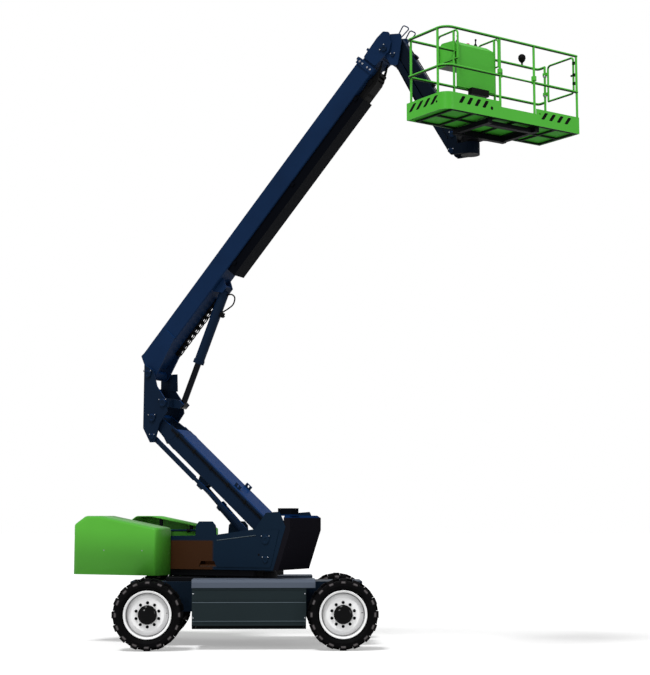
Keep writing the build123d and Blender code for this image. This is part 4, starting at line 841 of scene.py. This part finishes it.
cut = stripes["cut"]
acrossShare = np.array([cut, 1 - cut, 1, 1, 1 - cut, cut, 0, 0])
upShare = np.array([0, 0, cut / 2, 1 - cut / 2, 1, 1, 1 - cut / 2, cut / 2])
tapes = []
for face, begin, pitch, count, width, lean in stripeRows:
    u = begin + np.arange(count)[:, None] * pitch + (acrossShare * width + upShare * lean)[None]
    v = np.broadcast_to(stripes["low"] + upShare * (stripes["high"] - stripes["low"]), u.shape)
    tapes.append(tapePlates(u, v, face))
dotTurn = np.linspace(0, 2 * np.pi, 12, endpoint=False)[None]
for face, along, height, radius in stripeDots:
    tapes.append(tapePlates(along + radius * np.cos(dotTurn), height + radius * np.sin(dotTurn), face))
makePiece("toeBoardStripes", joined(tapes), finish["stripe"], "platform", "platform", 20)

# gate fittings: clamp sleeves with screws on the hinge post, and on the gate black stops with a knob
gate = {"postX": 324.0, "postY": 1166.0, "clampZ": (1015.0, 722.0),
        "clamp": [(24, -26), (28, -22), (28, 22), (24, 26)],
        "screw": [(9, 24), (9, 36), (7, 38)], "stopX": 930.0, "stopZ": (1049.0, 875.5, 752.0),
        "stopSize": (42.0, 34.0, 42.0), "knobIn": 20.0,
        "knob": [(7, 0), (7, 22), (15, 26), (17, 34), (13, 42), (1, 44)]}
clampSpots = [(gate["postX"], gate["postY"], z) for z in gate["clampZ"]]
clamps = [turned(gate["clamp"], 28, up, spot) for spot in clampSpots]
clamps += [turned(gate["screw"], 6, (1, 0, 0), spot) for spot in clampSpots]
makePiece("gateClamps", joined(clamps), finish["zinc"], "platform", "platform")
stops = [block(gate["stopSize"], 7, 3, (gate["stopX"], gate["postY"], z)) for z in gate["stopZ"]]
knobPlace = (gate["stopX"] - gate["knobIn"], gate["postY"], gate["stopZ"][1])
stops.append(turned(gate["knob"], 20, (-1, 0, 0), knobPlace))
makePiece("gateStops", joined(stops), finish["plastic"], "gate", "platform")
print("stripes and gate fittings set")

# tread plate: lozenges a few millimetres high, in two directions, over the platform floor
treadPlate = {"pitch": 62.0, "level": 40.0, "height": 4.0, "foot": (20.0, 6.5), "crest": (8.0, 2.5),
              "turn": 0.78,
              "spanX": (205, 965), "spanY": (-1090, 1150)}
treadX = np.arange(*treadPlate["spanX"], treadPlate["pitch"])
treadY = np.arange(*treadPlate["spanY"], treadPlate["pitch"])
gx, gy = np.meshgrid(treadX, treadY, indexing="ij")
odd = ((np.arange(len(treadX))[:, None] + np.arange(len(treadY))[None]) % 2).ravel()
diamond = np.array([[-1, 0], [0, -1], [1, 0], [0, 1]], float)
lozenge = np.concatenate([
    np.column_stack([diamond * treadPlate["foot"], np.zeros(4)]),
    np.column_stack([diamond * treadPlate["crest"], np.full(4, treadPlate["height"])])])
lozengeFaces = gridFaces(2, 4) + [[4, 5, 6, 7], [3, 2, 1, 0]]
treadSpots = np.stack([gx.ravel(), gy.ravel(), np.full(gx.size, treadPlate["level"])], -1)
treadTurns = turnMatrices(up, np.where(odd, treadPlate["turn"], -treadPlate["turn"]))
lozenges = copies((lozenge, lozengeFaces), treadSpots, treadTurns)
makePiece("treadLozenges", lozenges, finish["tread"], "platform", "platform", 20)
print("platform dressed")

# console controls on its sloping top: black panel, boots with levers, toggles and a red stop button
console = {"centre": (12.0, -60.0, 1315.0), "tilt": 0.0776, "size": (200.0, 560.0, 6.0), "surface": 3.0,
           "leverX": 20.0, "levers": (-190.0, 150.0), "toggles": 7, "toggleX": -62.0, "toggleSpan": 220.0,
           "stop": (30.0, 0.0),
           "lever": [(34, 0), (34, 4), (30, 10), (33, 16), (26, 24), (29, 30), (20, 40), (22, 46), (12, 56),
                     (9, 60),
                     (9, 95), (14, 104), (15, 118), (10, 128), (1, 130)],
           "toggle": [(11, 0), (11, 4), (6, 5), (4, 7), (4, 22), (3, 24), (1, 24)],
           "button": [(22, 0), (22, 8), (14, 9), (14, 18), (24, 20), (25, 28), (20, 34), (1, 36)]}
tilt = turnMatrices((0, 1, 0), console["tilt"])[0]
leverSpots = [(console["leverX"], y, console["surface"]) for y in console["levers"]]
toggleY = np.linspace(-console["toggleSpan"], console["toggleSpan"], console["toggles"])
toggleSpots = [(console["toggleX"], y, console["surface"]) for y in toggleY]
panel = joined([block(console["size"], 14, 2), copies(turned(console["lever"], 24, up), leverSpots)])
switches = copies(turned(console["toggle"], 12, up), toggleSpots)
stop = copies(turned(console["button"], 28, up), [(*console["stop"], console["surface"])])
consoleParts = (
    ("consolePanel", panel, "plastic", "black_plastic"),
    ("consoleToggles", switches, "zinc", "shade_steel"),
    ("consoleStop", stop, "red", "black_plastic"),
)
for name, (points, faces), paint, slot in consoleParts:
    makePiece(name, (points @ tilt.T + console["centre"], faces), finish[paint], "platform", "platform")
print("console dressed")

# jib lines: two steel tubes through the guides along the jib's top
jibLine = {"across": (-7.5, 7.5), "radius": 6.0, "x": (150, 380, 900, 1420, 1640),
           "z": (108, 116, 116, 116, 106)}
jibLines = []
for y in jibLine["across"]:
    path = smoothPath([(x, y, z) for x, z in zip(jibLine["x"], jibLine["z"])], 10)
    jibLines.append(tube(path, jibLine["radius"], 10))
makePiece("jibSteelLines", joined(jibLines), finish["blackSteel"], "jib_arm", "jib")

# lower boom lines: two steel tubes along each side face, held by clamps at even steps
lines = {"face": 211.0, "inside": 196.0, "heights": (66.0, 88.0), "start": -2360.0, "end": -420.0,
         "dive": 40.0,
         "radius": 7.0, "clampFirst": 60.0, "clampStep": 388.0, "clampSize": (34, 20, 56), "clampY": 210.0,
         "clampZ": 77.0, "screwY": 206.0, "screw": [(7, 8), (7, 14), (5, 16), (1, 16)]}
lineMid = (lines["start"] + lines["end"]) / 2
tubes, clamps = [], []
for side in (1, -1):
    for z in lines["heights"]:
        run = [(lines["start"] - lines["dive"], side * lines["inside"], z)]
        run += [(x, side * lines["face"], z) for x in (lines["start"], lineMid, lines["end"])]
        run.append((lines["end"] + lines["dive"], side * lines["inside"], z))
        tubes.append(tube(smoothPath(run, 10), lines["radius"], 10))
    for x in np.arange(lines["start"] + lines["clampFirst"], lines["end"], lines["clampStep"]):
        clamps.append(block(lines["clampSize"], 5, 3, (x, side * lines["clampY"], lines["clampZ"])))
        clamps.append(turned(lines["screw"], 6, (0, side, 0), (x, side * lines["screwY"], lines["clampZ"])))
makePiece("lowerBoomLines", joined(tubes), finish["blackSteel"], "lower_boom", "lowerBoom")
makePiece("lowerBoomClamps", joined(clamps), finish["plastic"], "lower_boom", "lowerBoom")

# lift cylinder hose: a loop from the barrel's upper port to its valve block
liftSet = {"radius": 11.0, "block": (76, 74, 56), "blockPlace": (390, 0, 96),
           "path": [(70, -20, 78), (40, -24, 150), (70, -26, 220), (170, -24, 232), (260, -20, 176),
                    (330, -14, 112),
                    (352, -10, 92)],
           "ports": (([(13, 66), (13, 92), (10, 96)], (70, -20, 0)),
                     ([(13, 122), (13, 138), (10, 142)], (400, 18, 0)))}
loop = tube(smoothPath(liftSet["path"], 10), liftSet["radius"], 14)
ports = [turned(profile, 6, up, place) for profile, place in liftSet["ports"]]
valve = joined([block(liftSet["block"], 6, 4, liftSet["blockPlace"])] + ports)
makePiece("liftHose", loop, finish["hose"], "main_lift_barrel", "mainLift")
makePiece("liftValve", valve, finish["blackSteel"], "main_lift_barrel", "mainLift")

# boom-end manifold: a valve block under the outer boom with a fan of short hoses back to the tray
fan = {"count": 5, "spread": 46.0, "radius": 10.5, "block": (120, 240, 66), "blockPlace": (5580, 0, -10),
       "fitting": [(14, 0), (14, 22), (11, 26)], "fittingX": 5530, "fittingZ": -24, "draw": 0.8,
       # x, share of the spread, z
       "path": ((5325, 1.0, -40), (5370, 1.0, -78), (5430, 0.9, -96), (5490, 0.8, -78), (5510, 0.8, -30))}
spreadY = (np.arange(fan["count"]) - (fan["count"] - 1) / 2) * fan["spread"]
hoses, fittings = [], []
for y in spreadY:
    path = smoothPath([(x, y * share, z) for x, share, z in fan["path"]], 8)
    hoses.append(tube(path, fan["radius"], 12))
    fittings.append(turned(fan["fitting"], 6, (-1, 0, 0),
                           (fan["fittingX"], y * fan["draw"], fan["fittingZ"])))
manifold = joined([block(fan["block"], 8, 5, fan["blockPlace"])] + fittings)
makePiece("boomEndHoses", joined(hoses), finish["hose"], "main_boom", "mainBoom")
makePiece("boomEndManifold", manifold, finish["blackSteel"], "main_boom", "mainBoom")

# outer boom: adjusting screws in the end collar's wear pads
collar = {"x": 5738.0, "face": 200.0, "heights": (70.0, 130.0, 230.0, 290.0), "top": 350.0,
          "across": (-110.0, 0.0, 110.0),
          "screw": [(15, -2), (15, 8), (9, 9), (9, 20), (6, 22), (1, 22)]}
screws = []
for side in (1, -1):
    for z in collar["heights"]:
        screws.append(turned(collar["screw"], 6, (0, side, 0), (collar["x"], side * collar["face"], z)))
screws += [turned(collar["screw"], 6, up, (collar["x"], y, collar["top"])) for y in collar["across"]]
makePiece("collarScrews", joined(screws), finish["zinc"], "main_boom", "mainBoom")
print("lines and hoses set")
